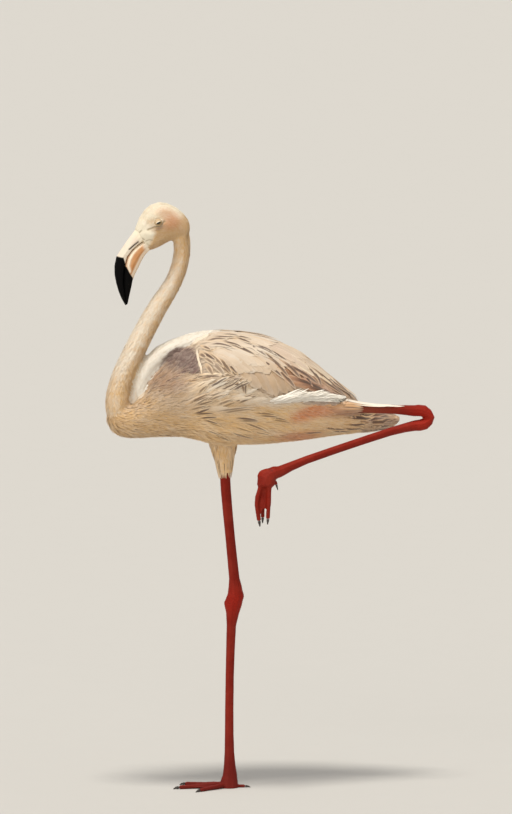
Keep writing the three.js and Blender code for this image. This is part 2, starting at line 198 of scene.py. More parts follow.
def meshOf(name, places, faces, edges=()):
    mesh = bpy.data.meshes.new(name)
    mesh.from_pydata(np.asarray(places).tolist(), list(edges), faces)
    mesh.update()
    return mesh


def giveAttribute(mesh, name, values):
    # one value, a vector or a colour for each vertex
    values = np.asarray(values, dtype=np.float32).ravel()
    kinds = {1: ("FLOAT", "value"), 3: ("FLOAT_VECTOR", "vector"), 4: ("FLOAT_COLOR", "color")}
    kind, field = kinds[len(values) // len(mesh.vertices)]
    mesh.attributes.new(name, kind, "POINT").data.foreach_set(field, values)


def placesOf(mesh):
    places = np.empty(len(mesh.vertices) * 3, dtype=np.float32)
    mesh.vertices.foreach_get("co", places)
    return places.reshape(-1, 3).astype(float)


def settled(piece):
    # the object's evaluated shape as a plain mesh, with its modifiers gone
    depsgraph = bpy.context.evaluated_depsgraph_get()
    mesh = bpy.data.meshes.new_from_object(piece.evaluated_get(depsgraph), depsgraph=depsgraph)
    piece.modifiers.clear()
    piece.data = mesh
    return piece


def paint(piece, material):
    piece.data.materials.clear()
    piece.data.materials.append(material)


def copyOf(name, sources, grow=0.0):
    # one mesh from copies of CAD nodes, each a little grown so that neighbours join
    whole = bmesh.new()
    for source in sources:
        single = bmesh.new()
        single.from_mesh(nodes[source].data)
        bmesh.ops.remove_doubles(single, verts=single.verts, dist=1e-6)
        single.normal_update()
        for vertex in single.verts:
            vertex.co += vertex.normal * grow
        part = bpy.data.meshes.new("part")
        single.to_mesh(part)
        whole.from_mesh(part)
        single.free()
        bpy.data.meshes.remove(part)
    mesh = bpy.data.meshes.new(name)
    whole.to_mesh(mesh)
    whole.free()
    return newObject(name, mesh)


def remeshed(piece, voxel):
    remesh = piece.modifiers.new("voxels", "REMESH")
    remesh.mode = "VOXEL"
    remesh.voxel_size = voxel * mm
    remesh.use_smooth_shade = True
    return settled(piece)


def alongLine(places, line):
    # distance along the line and the nearest place on it, in mm
    best = np.full(len(places), 1e9)
    distance, nearest = np.zeros(len(places)), np.zeros_like(places)
    gone = 0.0
    for start, end in zip(line, line[1:]):
        start, end = np.array(start, float), np.array(end, float)
        step = end - start
        size = np.linalg.norm(step)
        share = np.clip(((places - start) @ step) / size**2, 0, 1)
        spot = start + share[:, None] * step
        away = np.linalg.norm(places - spot, axis=1)
        closer = away < best
        best[closer] = away[closer]
        distance[closer] = gone + share[closer] * size
        nearest[closer] = spot[closer]
        gone += size
    return distance, nearest


def lineGap(places, line):
    flat = places * (1, 0, 1)
    return np.linalg.norm(flat - alongLine(flat, [(x, 0, z) for x, z in line])[1], axis=1)


class Shell:
    # a closed mesh as arrays, for smoothing, moving and looking up
    def __init__(self, mesh):
        self.places = placesOf(mesh)
        self.faces = [list(face.vertices) for face in mesh.polygons]
        edges = np.empty(len(mesh.edges) * 2, dtype=np.int64)
        mesh.edges.foreach_get("vertices", edges)
        self.edges = edges.reshape(-1, 2)
        self.valence = np.bincount(self.edges.ravel(), minlength=len(self.places))[:, None]
        self.quads = np.array([face if len(face) == 4 else face + face[-1:] for face in self.faces])

    def around(self, values):
        total = np.zeros_like(values)
        for near, far in (self.edges.T, self.edges.T[::-1]):
            for axis in range(values.shape[1]):
                total[:, axis] += np.bincount(near, values[far, axis], minlength=len(values))
        return total / np.maximum(self.valence, 1)

    def smooth(self, rounds):
        # one step in and a slightly longer one out, so that the form keeps its size
        for _ in range(rounds):
            self.places += 0.5 * (self.around(self.places) - self.places)
            self.places -= 0.52 * (self.around(self.places) - self.places)

    def normals(self):
        a, b, c, d = [self.places[self.quads[:, i]] for i in range(4)]
        faceNormals = np.cross(c - a, d - b)
        total = np.zeros_like(self.places)
        for corner in range(4):
            for axis in range(3):
                index = self.quads[:, corner]
                total[:, axis] += np.bincount(index, faceNormals[:, axis], minlength=len(total))
        return unit(total)

    def write(self, mesh):
        mesh.vertices.foreach_set("co", self.places.astype(np.float32).ravel())
        mesh.update()


view = {"azimuth": -12, "elevation": 6.5, "distance": 16, "frameHeight": 1.3024, "target": (42.5, 0, 614)}


def placeView():
    azimuth, elevation = math.radians(view["azimuth"]), math.radians(view["elevation"])
    level = math.cos(elevation)
    back = Vector((math.sin(azimuth) * level, -math.cos(azimuth) * level, math.sin(elevation)))
    camera = bpy.data.cameras.new("camera")
    camera.sensor_fit = "VERTICAL"
    camera.sensor_height = 24
    camera.lens = view["distance"] * camera.sensor_height / view["frameHeight"]
    camera.clip_end = 200
    holder = newObject("camera", camera)
    holder.location = Vector(view["target"]) * mm + back * view["distance"]
    holder.rotation_euler = back.to_track_quat("Z", "Y").to_euler()
    bpy.context.scene.camera = holder


floor = {"radius": 60, "sides": 96, "colour": (0.56, 0.55, 0.53), "mottle": (0.47, 0.475, 0.47)}


def layFloor():
    rim = [2 * math.pi * i / floor["sides"] for i in range(floor["sides"])]
    places = [(floor["radius"] * math.cos(a), floor["radius"] * math.sin(a), 0) for a in rim]
    piece = newObject("floor", meshOf("floor", places, [list(range(floor["sides"]))]))

    def build(bench):
        grain = bench.noise(bench.place(), 14, 4) * 0.12
        return bench.surface(bench.blend(grain, floor["colour"], floor["mottle"]), 0.9)

    piece.data.materials.append(newMaterial("pale_floor", build))


lamps = {
    "sun": {"from": (-0.12, -0.3, 1.5), "softness": 12, "strength": 2.2, "colour": (1, 0.95, 0.86)},
    "sky": {"from": (-0.92, -1.2, 0.28), "softness": 70, "strength": 1.6, "colour": (1, 0.95, 0.88)},
}
worldLight = {"colour": (0.9, 0.88, 0.85), "strength": 0.56}


def hangLamps():
    for name, lamp in lamps.items():
        light = bpy.data.lights.new(name, "SUN")
        light.angle = math.radians(lamp["softness"])
        light.energy = lamp["strength"]
        light.color = lamp["colour"]
        holder = newObject(name, light)
        holder.location = lamp["from"]
        holder.rotation_euler = Vector(lamp["from"]).to_track_quat("Z", "Y").to_euler()
    world = bpy.data.worlds.new("studio")
    world.use_nodes = True
    background = world.node_tree.nodes["Background"]
    background.inputs["Color"].default_value = (*worldLight["colour"], 1)
    background.inputs["Strength"].default_value = worldLight["strength"]
    bpy.context.scene.world = world
    bpy.context.scene.view_settings.view_transform = "Standard"


placeView()
layFloor()
hangLamps()
print("stage set")


skinShape = {
    "grow": 0.35,
    "voxel": 2.1,
    "fairing": 40,
    "steps": 6,
    "blurs": 14,
    "depth": {"head": 1.2, "neck": 1.7, "root": 2.2, "trunk": 4.2, "wing": 4.6, "tail": 4.2, "thigh": 3.6},
}
# forms of the face on each side: x, y, z, radius, push outwards
faceForms = {
    "cheek": (-133.5, 18, 896.5, 6.2, 2.6),
    "socket": (-120.5, 23, 915.5, 6.5, -0.9),
    "brow": (-123, 18, 926, 7, 1.1),
    "lore": (-141, 13, 904, 6, -1.3),
    "jaw": (-122, 17, 884, 9, 1.0),
    "ear": (-97, 22, 905, 11, 0.9),
    "temple": (-104, 21, 922, 9, -0.7),
}
partOfNode = {name: "neck" for name in neckNodes}
partOfNode.update(neck_root="root", head="head", trunk="trunk", tail="tail")
partOfNode.update(wing_left="wing", wing_right="wing", thigh_left="thigh", thigh_right="thigh")
partNames = ["head", "neck", "root", "trunk", "wing", "tail", "thigh"]


def partsAt(places):
    # which part of the bird each place belongs to, from the nearest solid
    corners, faces, owners = [], [], []
    for name in fleshNodes:
        start = len(corners)
        mesh = nodes[name].data
        corners.extend(placesOf(mesh).tolist())
        faces.extend([[start + i for i in face.vertices] for face in mesh.polygons])
        owners.extend([partNames.index(partOfNode[name])] * len(mesh.polygons))
    tree = BVHTree.FromPolygons(corners, faces)
    return np.array([owners[tree.find_nearest(place)[2]] for place in places])


def bothSides(x, y, z):
    return [(x, y, z), (x, -y, z)]


# folds of the face on each side: a line of x, z, depth and reach
faceFolds = {
    "lidFold": {"line": [(-110, 918.5), (-119, 911.5), (-128, 908), (-137, 904)], "deep": 1.0, "reach": 1.6},
    "browFold": {"line": [(-112, 923), (-120, 923.5), (-128, 919)], "deep": 0.35, "reach": 1.2},
    "loreFold": {
        "line": [(-146.5, 902), (-152.5, 896), (-148.5, 891.5), (-142, 888)], "deep": 0.8, "reach": 1.0,
    },
    "gapeFold": {"line": [(-140, 885.5), (-134.5, 888), (-130, 887)], "deep": 0.7, "reach": 1.0},
    "chinFold": {"line": [(-137, 881), (-131, 876), (-124, 874)], "deep": 0.4, "reach": 1.4},
}


foldLimit = {"x": -105, "z": 865}  # the folds lie in front of this and above it


def foldsAt(points):
    # how deep in a fold each place lies, 0 to 1
    total = np.zeros(len(points))
    for fold in faceFolds.values():
        gap = lineGap(points, fold["line"])
        total = np.maximum(total, fold["deep"] * bell(gap, fold["reach"]))
    return total * (points[:, 2] > foldLimit["z"]) * (points[:, 0] < foldLimit["x"])


def shapeFace(shell):
    outward = shell.normals()
    points = shell.places / mm
    shell.places -= outward * (foldsAt(points) * smoothStep(np.abs(outward[:, 1]), 0.2, 0.6) * mm)[:, None]
    for x, y, z, radius, push in faceForms.values():
        for centre in bothSides(x, y, z):
            shell.places += outward * (push * mm * bell(gapTo(points, centre), radius))[:, None]


def refineFace(mesh):
    # twice as many faces on the front of the head, for its folds
    whole = bmesh.new()
    whole.from_mesh(mesh)
    edges = [edge for edge in whole.edges if all(isFace(vertex.co / mm) for vertex in edge.verts)]
    bmesh.ops.subdivide_edges(whole, edges=edges, cuts=1, use_grid_fill=True)
    bmesh.ops.triangulate(whole, faces=[face for face in whole.faces if len(face.verts) > 4])
    whole.to_mesh(mesh)
    whole.free()


def isFace(place):
    return place.x < -100 and place.z > 864 and place.x + 0.5 * (940 - place.z) < -88


skin = remeshed(copyOf("skin", fleshNodes, skinShape["grow"] * mm), skinShape["voxel"])
refineFace(skin.data)
shell = Shell(skin.data)
shell.smooth(skinShape["fairing"])
part = partsAt(shell.places)
depth = np.array([skinShape["depth"][name] for name in partNames])[part][:, None] * mm
for _ in range(skinShape["blurs"]):
    depth = shell.around(depth)
# the face beside the bill is pulled in less
besideBill = smoothStep(-(shell.places[:, 0] / mm) - 0.3 * (shell.places[:, 2] / mm - 886), 131, 139)
depth *= 1 - 0.5 * (besideBill * (shell.places[:, 2] > 0.86))[:, None]
for _ in range(skinShape["steps"]):
    shell.places -= shell.normals() * depth / skinShape["steps"]
    shell.smooth(2)
shapeFace(shell)
shell.smooth(1)
shell.write(skin.data)
skinNormals = shell.normals()
print("skin", len(shell.places))


# lines along the plumage from the side, x, y, z, each followed by the feathers near it
lieLines = {
    "head": [
        [(-158, 0, 902), (-150, 0, 926), (-133, 0, 945), (-112, 0, 949), (-91, 0, 942), (-74, 0, 925),
         (-66, 0, 900)],
        [(-146, 19, 912), (-132, 23, 930), (-110, 24, 936), (-90, 22, 928), (-74, 15, 905), (-72, 8, 888)],
        [(-136, 17, 893), (-118, 22, 900), (-98, 23, 903), (-84, 18, 895), (-76, 12, 878)],
        [(-132, 8, 870), (-115, 14, 876), (-98, 14, 882), (-82, 10, 880), (-76, 8, 866)],
    ],
    "neck": [
        [(-76, 0, 896), (-78, 0, 862), (-90, 0, 822), (-121, 0, 773), (-156, 0, 708), (-177, 0, 662),
         (-183, 0, 630), (-176, 0, 598), (-160, 0, 575)],
    ],
    "root": [
        [(-156, 0, 600), (-150, 0, 620), (-147, 0, 645), (-139, 0, 669), (-119, 0, 697), (-88, 0, 712),
         (-48, 0, 722), (0, 0, 730)],
    ],
    "body": [
        [(-100, 0, 712), (-56, 0, 730), (-20, 0, 736), (40, 0, 729), (105, 0, 706), (173, 0, 652),
         (214, 0, 618), (280, 0, 594)],
        [(-100, 38, 690), (-60, 48, 716), (0, 55, 722), (60, 52, 706), (120, 40, 678), (185, 26, 636),
         (214, 20, 618)],
        [(-92, 60, 676), (-60, 74, 694), (0, 84, 690), (60, 80, 672), (120, 66, 646), (180, 44, 624),
         (214, 34, 612)],
        [(-128, 46, 622), (-92, 66, 634), (-52, 84, 650), (0, 90, 654), (60, 86, 642), (120, 72, 624),
         (190, 48, 610)],
        [(-180, 26, 604), (-120, 52, 606), (-50, 84, 616), (20, 92, 618), (90, 82, 612), (160, 58, 602),
         (214, 38, 598)],
        [(-182, 20, 588), (-110, 44, 582), (-40, 72, 582), (20, 78, 576), (90, 66, 572), (160, 46, 574),
         (214, 30, 578)],
        [(-198, 0, 596), (-170, 0, 572), (-100, 0, 568), (-20, 0, 554), (60, 0, 552), (130, 0, 558),
         (214, 0, 568), (270, 0, 578)],
        [(190, 30, 606), (230, 30, 596), (276, 20, 591)],
    ],
    "thigh": [
        [(-7, 26, 600), (-5.5, 23, 553), (-5, 21, 528), (-4.5, 19.5, 500)],
        [(-8, -64, 628), (40, -66, 628), (90, -60, 624), (140, -53, 618), (190, -48, 614)],
    ],
}


lieStep = {"pitch": 8, "blurs": 8}


def lineSamples(line):
    samples = []
    for start, end in zip(line, line[1:]):
        start, end = np.array(start, float), np.array(end, float)
        count = max(1, int(np.linalg.norm(end - start) / lieStep["pitch"]))
        along = unit(end - start)
        samples += [(start + (end - start) * i / count, along) for i in range(count)]
    return samples


def lieOf(places, lines, mirrored):
    samples = [sample for line in lines for sample in lineSamples(line)]
    if mirrored:
        samples += [(at * (1, -1, 1), along * (1, -1, 1)) for at, along in samples]
    total = np.zeros_like(places)
    for at, along in samples:
        away = ((places - at) ** 2).sum(axis=1)
        total += along / (away[:, None] + 4) ** 2
    return unit(total)


points = shell.places / mm
lie = lieOf(points, lieLines["body"], True)
for name in ("head", "neck", "root"):
    chosen = part == partNames.index(name)
    lie[chosen] = lieOf(points[chosen], lieLines[name], name == "head")
chosen = (part == partNames.index("thigh")) & (points[:, 2] < 575)
lie[chosen] = lieOf(points[chosen], lieLines["thigh"], False)
for _ in range(lieStep["blurs"]):
    lie = shell.around(lie)
    lie -= skinNormals * (lie * skinNormals).sum(axis=1)[:, None]
    lie = unit(lie)


def blotches(places, size, seed):
    # soft patches between -1 and 1, places and size in mm
    waves = np.random.default_rng(seed)
    total = np.zeros(len(places))
    for _ in range(9):
        direction = waves.normal(size=3) * 2 * math.pi / size / 1.6
        total += np.sin(places @ direction + waves.uniform(0, 2 * math.pi))
    return total / 3.4


def patch(places, x, z, reachX, reachZ, tilt=0.0):
    # a soft oval seen from the side, on both flanks
    turn = math.radians(tilt)
    dx, dz = places[:, 0] - x, places[:, 2] - z
    along = (dx * math.cos(turn) + dz * math.sin(turn)) / reachX
    over = (dz * math.cos(turn) - dx * math.sin(turn)) / reachZ
    return np.exp(-((along**2 + over**2) ** 1.5))


def within(places, corners, soft):
    # 1 inside a convex outline of x, z, which runs anticlockwise seen from the left side
    inside = np.full(len(places), 1e9)
    for (x0, z0), (x1, z1) in zip(corners, corners[1:] + corners[:1]):
        dx, dz = x1 - x0, z1 - z0
        over = (places[:, 2] - z0) * dx - (places[:, 0] - x0) * dz
        inside = np.minimum(inside, over / math.hypot(dx, dz))
    return smoothStep(inside, -soft, soft)


# the hollow in front of the wing, where the cast shadow of the neck and head is painted in
hollow = [(-125, 672), (-63, 677), (-66.5, 714), (-89, 714.5), (-102, 708), (-116, 690)]


# soft ovals on the sides: x, z, reach along, reach over and tilt
ovals = {
    "breast": (-112, 662, 26, 17),
    "underWing": (50, 634, 46, 10),
    "brow": (-108, 927, 15, 9),
    "lore": (-130, 916, 9, 6.5),
    "eyeLine": (-121, 907, 12, 4.2, 24),
    "cheek": (-101, 914, 15, 11, 14),
    "crown": (-104, 929, 20, 9, -18),
    "ear": (-88, 908, 12, 11),
    "wingRust": (122, 655, 58, 11.5, -25),
    "flank": (106, 609, 26, 12, 18),
    "rearFlank": (136, 613, 28, 11),
    "rump": (210, 608, 40, 13),
    "vent": (178, 605, 34, 9),
    "belly": (104, 568, 36, 11),
    "backRust": (92, 690, 62, 9, -42),
    "breastShadowRust": (-112, 666, 30, 18),
    "wingTip": (205, 620, 22, 7),
    "breastShade": (-112, 664, 34, 22),
    "flankShade": (-20, 632, 130, 30),
    "flankStreaks": (10, 612, 115, 34),
    "shoulderStreaks": (20, 700, 60, 26),
    "tertialStreaks": (120, 680, 60, 24, -38),
    "palePanel": (140, 628, 60, 12, -14),
}


def markingsAt(places, facing, where):
    # warm, rust, dusk and streak of each place, in mm, with its outward direction and part; some of the warm
    # and dusk is painted shade
    x, _, z = places.T
    isA = {name: where == partNames.index(name) for name in partNames}
    on = {name: patch(places, *oval) for name, oval in ovals.items()}
    body = isA["trunk"] | isA["thigh"] | isA["tail"]
    rough = blotches(places, 26, 3)
    fine = blotches(places, 9, 5)
    warm = 0.2 + 0.1 * rough
    # the wing's lower side warmer and darker and its top paler, partly painted shade
    side = smoothStep(-z, -700, -640) * isA["wing"]
    top = smoothStep(z, 690, 716) * isA["wing"]
    # lower body warmer tan: partly its own colour, partly painted shade and warm light thrown up from below
    bodyTanAndShade = 0.4 + 0.44 * smoothStep(-z, -660, -600) + 0.14 * rough
    warm = np.where(body, bodyTanAndShade, warm + 0.2 * isA["wing"] - 0.16 * top + 0.36 * side)
    # the breast warmer, partly painted shade
    warm += np.where(isA["trunk"], 0.12 * smoothStep(-x, 60, 130) + 0.3 * on["breast"], 0)
    warm -= 0.4 * on["underWing"] * body
    # the neck: mottled tan, with painted shade warming its rear-facing side and its lower end
    rear = smoothStep(facing[:, 0] - 0.3 * facing[:, 2], -0.45, 0.6)
    neckTanAndShade = 0.04 + 0.74 * rear + 0.13 * rough + 0.16 * fine + 0.6 * smoothStep(-z, -710, -630)
    neckTanAndShade += 0.6 * smoothStep(z, 800, 872)
    warm = np.where(isA["neck"], neckTanAndShade, warm)
    # the neck root kept almost white: painted light on the band where the light falls
    warm = np.where(isA["root"], 0.02 * rough, warm)
    # the rear and lower head tan, partly painted shade, with the lit front and top left pale
    headTanAndShade = 1.1 * smoothStep(x - 0.44 * (z - 903), -129, -117)
    headTanAndShade *= 1 - smoothStep(z - 0.35 * (x + 110), 903, 923)
    # tan over the brow, and painted shade in front of the eye and along the fold below it
    headTanAndShade += 0.45 * on["brow"] + 0.4 * on["lore"]
    headTanAndShade += 0.7 * on["eyeLine"]
    warm = np.where(isA["head"], 0.02 + headTanAndShade + 0.06 * fine, warm)
    rosy = 0.95 * on["cheek"] + 0.6 * on["crown"]
    rosy = np.where(isA["head"], rosy + 0.2 * on["ear"], 0)
    wingRust = on["wingRust"] * isA["wing"]
    warm = warm + 0.5 * wingRust
    rust = 0.72 * wingRust * (0.8 + 0.3 * rough)
    rust += 1.0 * on["flank"] + 0.85 * on["rearFlank"]
    rust += (0.9 * on["rump"] + 0.1) * isA["tail"]
    rust += 0.25 * on["vent"] + 0.85 * on["belly"]
    rust += 0.2 * on["backRust"]
    # painted shadow in that hollow, on the wing, trunk and neck root: a little rust here, dark mauve below
    around = within(places, hollow, 2.5) * smoothStep(z + 0.4 * (x + 95), 668, 692)
    around *= isA["wing"] | isA["trunk"] | isA["root"]
    rust = np.where(isA["head"] | isA["neck"], 0, rust * ~isA["root"] + 0.2 * around)
    # painted shadow of the neck on the breast below the hollow, in rust-brown
    rust += 0.3 * on["breastShadowRust"] * (isA["trunk"] | isA["wing"])
    dusk = 0.7 * isA["tail"] * (0.7 + 0.4 * fine) + 0.1 * isA["thigh"]
    # painted shade on the wing: darker on its lower side, lighter on top; its tip darker too
    dusk += 0.3 * on["wingTip"] * isA["wing"] + 0.34 * isA["wing"] - 0.12 * top + 0.22 * side
    # the hollow's painted shadow, darkest at its top
    dusk += around * (0.72 + 0.3 * smoothStep(z, 690, 708) + 0.15 * fine)
    dusk += 0.34 * on["breastShade"] * isA["trunk"] + 0.2 * on["flankShade"] * body
    # painted shade at the front of the trunk and at the foot of the neck
    dusk += 0.24 * smoothStep(-x, 50, 110) * isA["trunk"] + 0.14 * smoothStep(-z, -730, -640) * isA["neck"]
    # painted shade on the tan of the head and on the neck's rear side; the neck darker towards the head
    dusk += 0.28 * isA["head"] * headTanAndShade + 0.1 * isA["neck"] * (rear + 1.2 * smoothStep(z, 790, 850))
    # painted shade along the fold below the eye
    dusk += 0.3 * isA["head"] * on["eyeLine"]
    dusk += 0.42 * on["vent"] * body
    streak = 0.5 * on["flankStreaks"] + 0.55 * on["shoulderStreaks"]
    streak += 0.35 * on["tertialStreaks"] + 0.8 * isA["tail"]
    streak *= body | isA["wing"]
    white = 0.9 * on["palePanel"] * isA["wing"]
    warm = warm * (1 - white)
    marks = np.stack([warm, np.maximum(rust, rosy * 0.62), dusk, streak], axis=1)
    return np.clip(marks, 0, 1)


skinMarks = markingsAt(points, skinNormals, part)


def bareShare(places):
    # 1 on the bare skin of the face and round the eyes
    x, _, z = places.T
    front = smoothStep(-x + 0.44 * (z - 890), 124, 134)
    top = 1 - smoothStep(z + 0.9 * (x + 130), 893, 911)
    eyes = np.zeros(len(places))
    for centre in bothSides(-120.5, 21.5, 915.5):
        eyes = np.maximum(eyes, 1 - smoothStep(gapTo(places, centre), 6.6, 8.0))
    return np.maximum(front * np.maximum(top, smoothStep(-x, 150, 156)), eyes) * (z > 850)


bare = bareShare(points) * (part == partNames.index("head"))

plumageColours = {
    "cream": (0.83, 0.735, 0.60),
    "white": (0.94, 0.90, 0.81),
    "face": (0.95, 0.88, 0.70),
    "tan": (0.78, 0.49, 0.19),
    "rust": (0.62, 0.195, 0.04),
    # dusk: dark tone, also used as painted shade
    "dusk": (0.14, 0.07, 0.062),
    "streak": (0.09, 0.05, 0.034),
    "skin": (0.85, 0.77, 0.60),
    # crease: painted shade in the folds of the face and on shaded bare skin
    "crease": (0.30, 0.21, 0.10),
    "veins": (0.74, 0.55, 0.38),
    "bloom": (0.9, 0.82, 0.74),
    "edge": (0.94, 0.85, 0.71),
    # base: painted shade at the roots of the vanes, under the ones above
    "base": (0.46, 0.31, 0.21),
}


def plumageColour(bench, marks, place, cream):
    warm, rust, dusk = bench.parts(marks)
    drift = bench.noise(place, 55, 3)
    colour = bench.blend(warm, plumageColours[cream], plumageColours["tan"])
    colour = bench.blend(rust, colour, plumageColours["rust"])
    colour = bench.blend(dusk, colour, plumageColours["dusk"])
    return bench.blend((drift - 0.5).absolute() * 0.5, colour, plumageColours["bloom"])


def buildSkin(bench):
    place = bench.place()
    colour = plumageColour(bench, bench.attribute("marks"), place, "cream")
    bareSkin = bench.attribute("bare", "Fac")
    veins = bench.noise(place, 420, 4, 0.65)
    face = bench.blend(bench.ramp(veins, 0.5, 0.8) * 0.35, plumageColours["skin"], plumageColours["veins"])
    # painted shade on the bare skin, from its dusk marks, and darker still in its folds
    shade = bench.parts(bench.attribute("marks"))[2]
    colour = bench.blend(bareSkin, colour, bench.blend(shade, face, plumageColours["crease"]))
    colour = bench.blend(bench.attribute("fold", "Fac") * 0.8, colour, plumageColours["crease"])
    height = bench.ramp(bench.cracks(place, 900), 0, 0.25) * bareSkin + veins * 0.6
    return bench.surface(colour, 0.85 - bareSkin * 0.3, (height, 0.5, 0.4))


giveAttribute(skin.data, "marks", skinMarks)
giveAttribute(skin.data, "bare", bare)
# how deep each place lies in a fold, for the painted shade there
giveAttribute(skin.data, "fold", np.clip(foldsAt(points), 0, 1))
paint(skin, newMaterial("skin", buildSkin))


skinTree = BVHTree.FromPolygons(shell.places.tolist(), shell.faces)
faceLie = unit(lie[shell.quads].mean(axis=1))
faceOut = unit(skinNormals[shell.quads].mean(axis=1))
facePart = part[shell.quads[:, 0]]


def onSkin(places):
    # the nearest place on the skin, and its face
    landed, faces = np.empty_like(places), np.empty(len(places), dtype=int)
    for i, place in enumerate(places.tolist()):
        spot, _, face, _ = skinTree.find_nearest(place)
        landed[i] = spot
        faces[i] = face
    return landed, faces


def scatterTree():
    # roots spread evenly over the skin, fewer where the share is low
    bench, given = newTree("scatter roots", {"Skin": "Geometry", "Spacing": "Float", "Seed": "Int"}, "Roots")
    spacing = given["Spacing"]
    share = bench.make("GeometryNodeInputNamedAttribute", {"data_type": "FLOAT"}, {"Name": "share"})
    sockets = {"Mesh": given["Skin"], "Distance Min": spacing, "Density Factor": share, "Seed": given["Seed"]}
    sockets["Density Max"] = 9.0 / (spacing * spacing)  # more than fit, which the spacing thins
    roots = bench.make("GeometryNodeDistributePointsOnFaces", {"distribute_method": "POISSON"}, sockets)
    roots = bench.make("GeometryNodePointsToVertices", {}, {"Points": roots})
    bench.make("NodeGroupOutput", {}, {"Roots": roots})
    return bench.tree


def vaneTree():
    # a curved vane along each guide line, with its own coordinates and its patch of the coat's map
    inputs = {"Guides": "Geometry", "Columns": "Int", "Camber": "Float", "Patch": "Float"}
    inputs["Finish"] = "Material"
    bench, wires = newTree("vanes", inputs, "Coat")

    def named(name, kind="FLOAT"):
        return bench.make("GeometryNodeInputNamedAttribute", {"data_type": kind}, {"Name": name})

    def store(geometry, name, value, kind, domain="POINT"):
        sockets = {"Geometry": geometry, "Name": name, "Value": value}
        return bench.make("GeometryNodeStoreNamedAttribute", {"data_type": kind, "domain": domain}, sockets)

    def joined(x, y, z=0.0):
        return bench.make("ShaderNodeCombineXYZ", {}, {"X": x, "Y": y, "Z": z})

    ends = {"Start": (0, -1, 0), "End": (0, 1, 0)}
    line = bench.make("GeometryNodeCurvePrimitiveLine", {"mode": "POINTS"}, ends)
    columns = {"Curve": line, "Count": wires["Columns"]}
    line = bench.make("GeometryNodeResampleCurve", {"mode": "COUNT"}, columns)
    across = bench.parts(bench.make("GeometryNodeInputPosition"))[1]
    line = store(line, "across", across, "FLOAT")
    drop = joined(across * across * wires["Camber"] * -1.0, 0.0)
    line = bench.make("GeometryNodeSetPosition", {}, {"Geometry": line, "Offset": drop})
    curves = bench.make("GeometryNodeMeshToCurve", {}, {"Mesh": wires["Guides"]})
    outward = named("outward", "FLOAT_VECTOR")
    curves = bench.make("GeometryNodeSetCurveNormal", {"mode": "FREE"}, {"Curve": curves, "Normal": outward})
    sockets = {"Curve": curves, "Profile Curve": line, "Scale": named("halfWidth")}
    coat = bench.make("GeometryNodeCurveToMesh", {}, sockets)
    coat = store(coat, "vane", joined(named("across"), named("along"), named("seed")), "FLOAT_VECTOR")
    rootU, rootV, _ = bench.parts(named("rootMap", "FLOAT_VECTOR"))
    spotU = rootU + named("across") * wires["Patch"] * 0.5
    spotV = rootV + named("along") * wires["Patch"]
    coat = store(coat, "OFBake", joined(spotU, spotV), "FLOAT2", "CORNER")
    coat = bench.make("GeometryNodeSetShadeSmooth", {}, {"Geometry": coat})
    coat = bench.make("GeometryNodeRealizeInstances", {}, {"Geometry": coat})
    coat = bench.make("GeometryNodeSetMaterial", {}, {"Geometry": coat, "Material": wires["Finish"]})
    bench.make("NodeGroupOutput", {}, {"Coat": coat})
    return bench.tree


scatterGroup = scatterTree()
vaneGroup = vaneTree()


def runTree(piece, group, values):
    modifier = piece.modifiers.new("build", "NODES")
    modifier.node_group = group
    for item in group.interface.items_tree:
        if item.item_type == "SOCKET" and item.in_out == "INPUT" and item.name in values:
            modifier[item.identifier] = values[item.name]
    return settled(piece)


def scatter(share, spacing, seed):
    mesh = skin.data.copy()
    giveAttribute(mesh, "share", share)
    piece = runTree(newObject("roots", mesh), scatterGroup, {"Spacing": spacing * mm, "Seed": seed})
    places = placesOf(piece.data)
    bpy.data.objects.remove(piece)
    return places


def turned(vectors, axes, angles):
    sine, cosine = np.sin(angles)[:, None], np.cos(angles)[:, None]
    return vectors * cosine + np.cross(axes, vectors) * sine


bodyAxis = {"x": [-200, -100, 20, 120, 280], "z": [600, 640, 640, 625, 590], "neckFoot": 735}


def unwrapOf(places):
    # where each place lies on the skin unrolled round its own long axis, the neck beside the body
    x, y, z = (places / mm).T
    neck = z > bodyAxis["neckFoot"]
    axis = np.interp(x, bodyAxis["x"], bodyAxis["z"])
    around = np.arctan2(y, z - axis) / (2 * math.pi) + 0.5
    across = np.where(neck, 0.02 + 0.3 * (x + 200) / 150, smoothStep(x, -230, 300) * 0.96)
    up = np.where(neck, np.where(x < -60, (z - 560) / 400, 0.0), around)
    return np.clip(np.stack([across, up], axis=1), 0.01, 0.98)


# each kind of vane: its width along its length, as [share of the length, share of the width]
vaneShapes = {
    "rounded": [(0, 0.4), (0.25, 0.8), (0.6, 1), (0.8, 0.92), (0.92, 0.68), (0.98, 0.36), (1, 0.06)],
    "pointed": [(0, 0.4), (0.2, 0.8), (0.45, 1), (0.7, 0.84), (0.88, 0.5), (1, 0.05)],
    "wisp": [(0, 0.8), (0.4, 1), (0.75, 0.62), (1, 0.08)],
    "quill": [(0, 0.5), (0.3, 0.95), (0.75, 1), (0.9, 0.8), (0.97, 0.45), (1, 0.08)],
}


def widthsOf(recipe):
    shares, widths = zip(*vaneShapes[recipe["shape"]])
    finer = np.linspace(0, 1, recipe["rings"]) ** 0.8
    return finer, np.interp(finer, shares, widths)


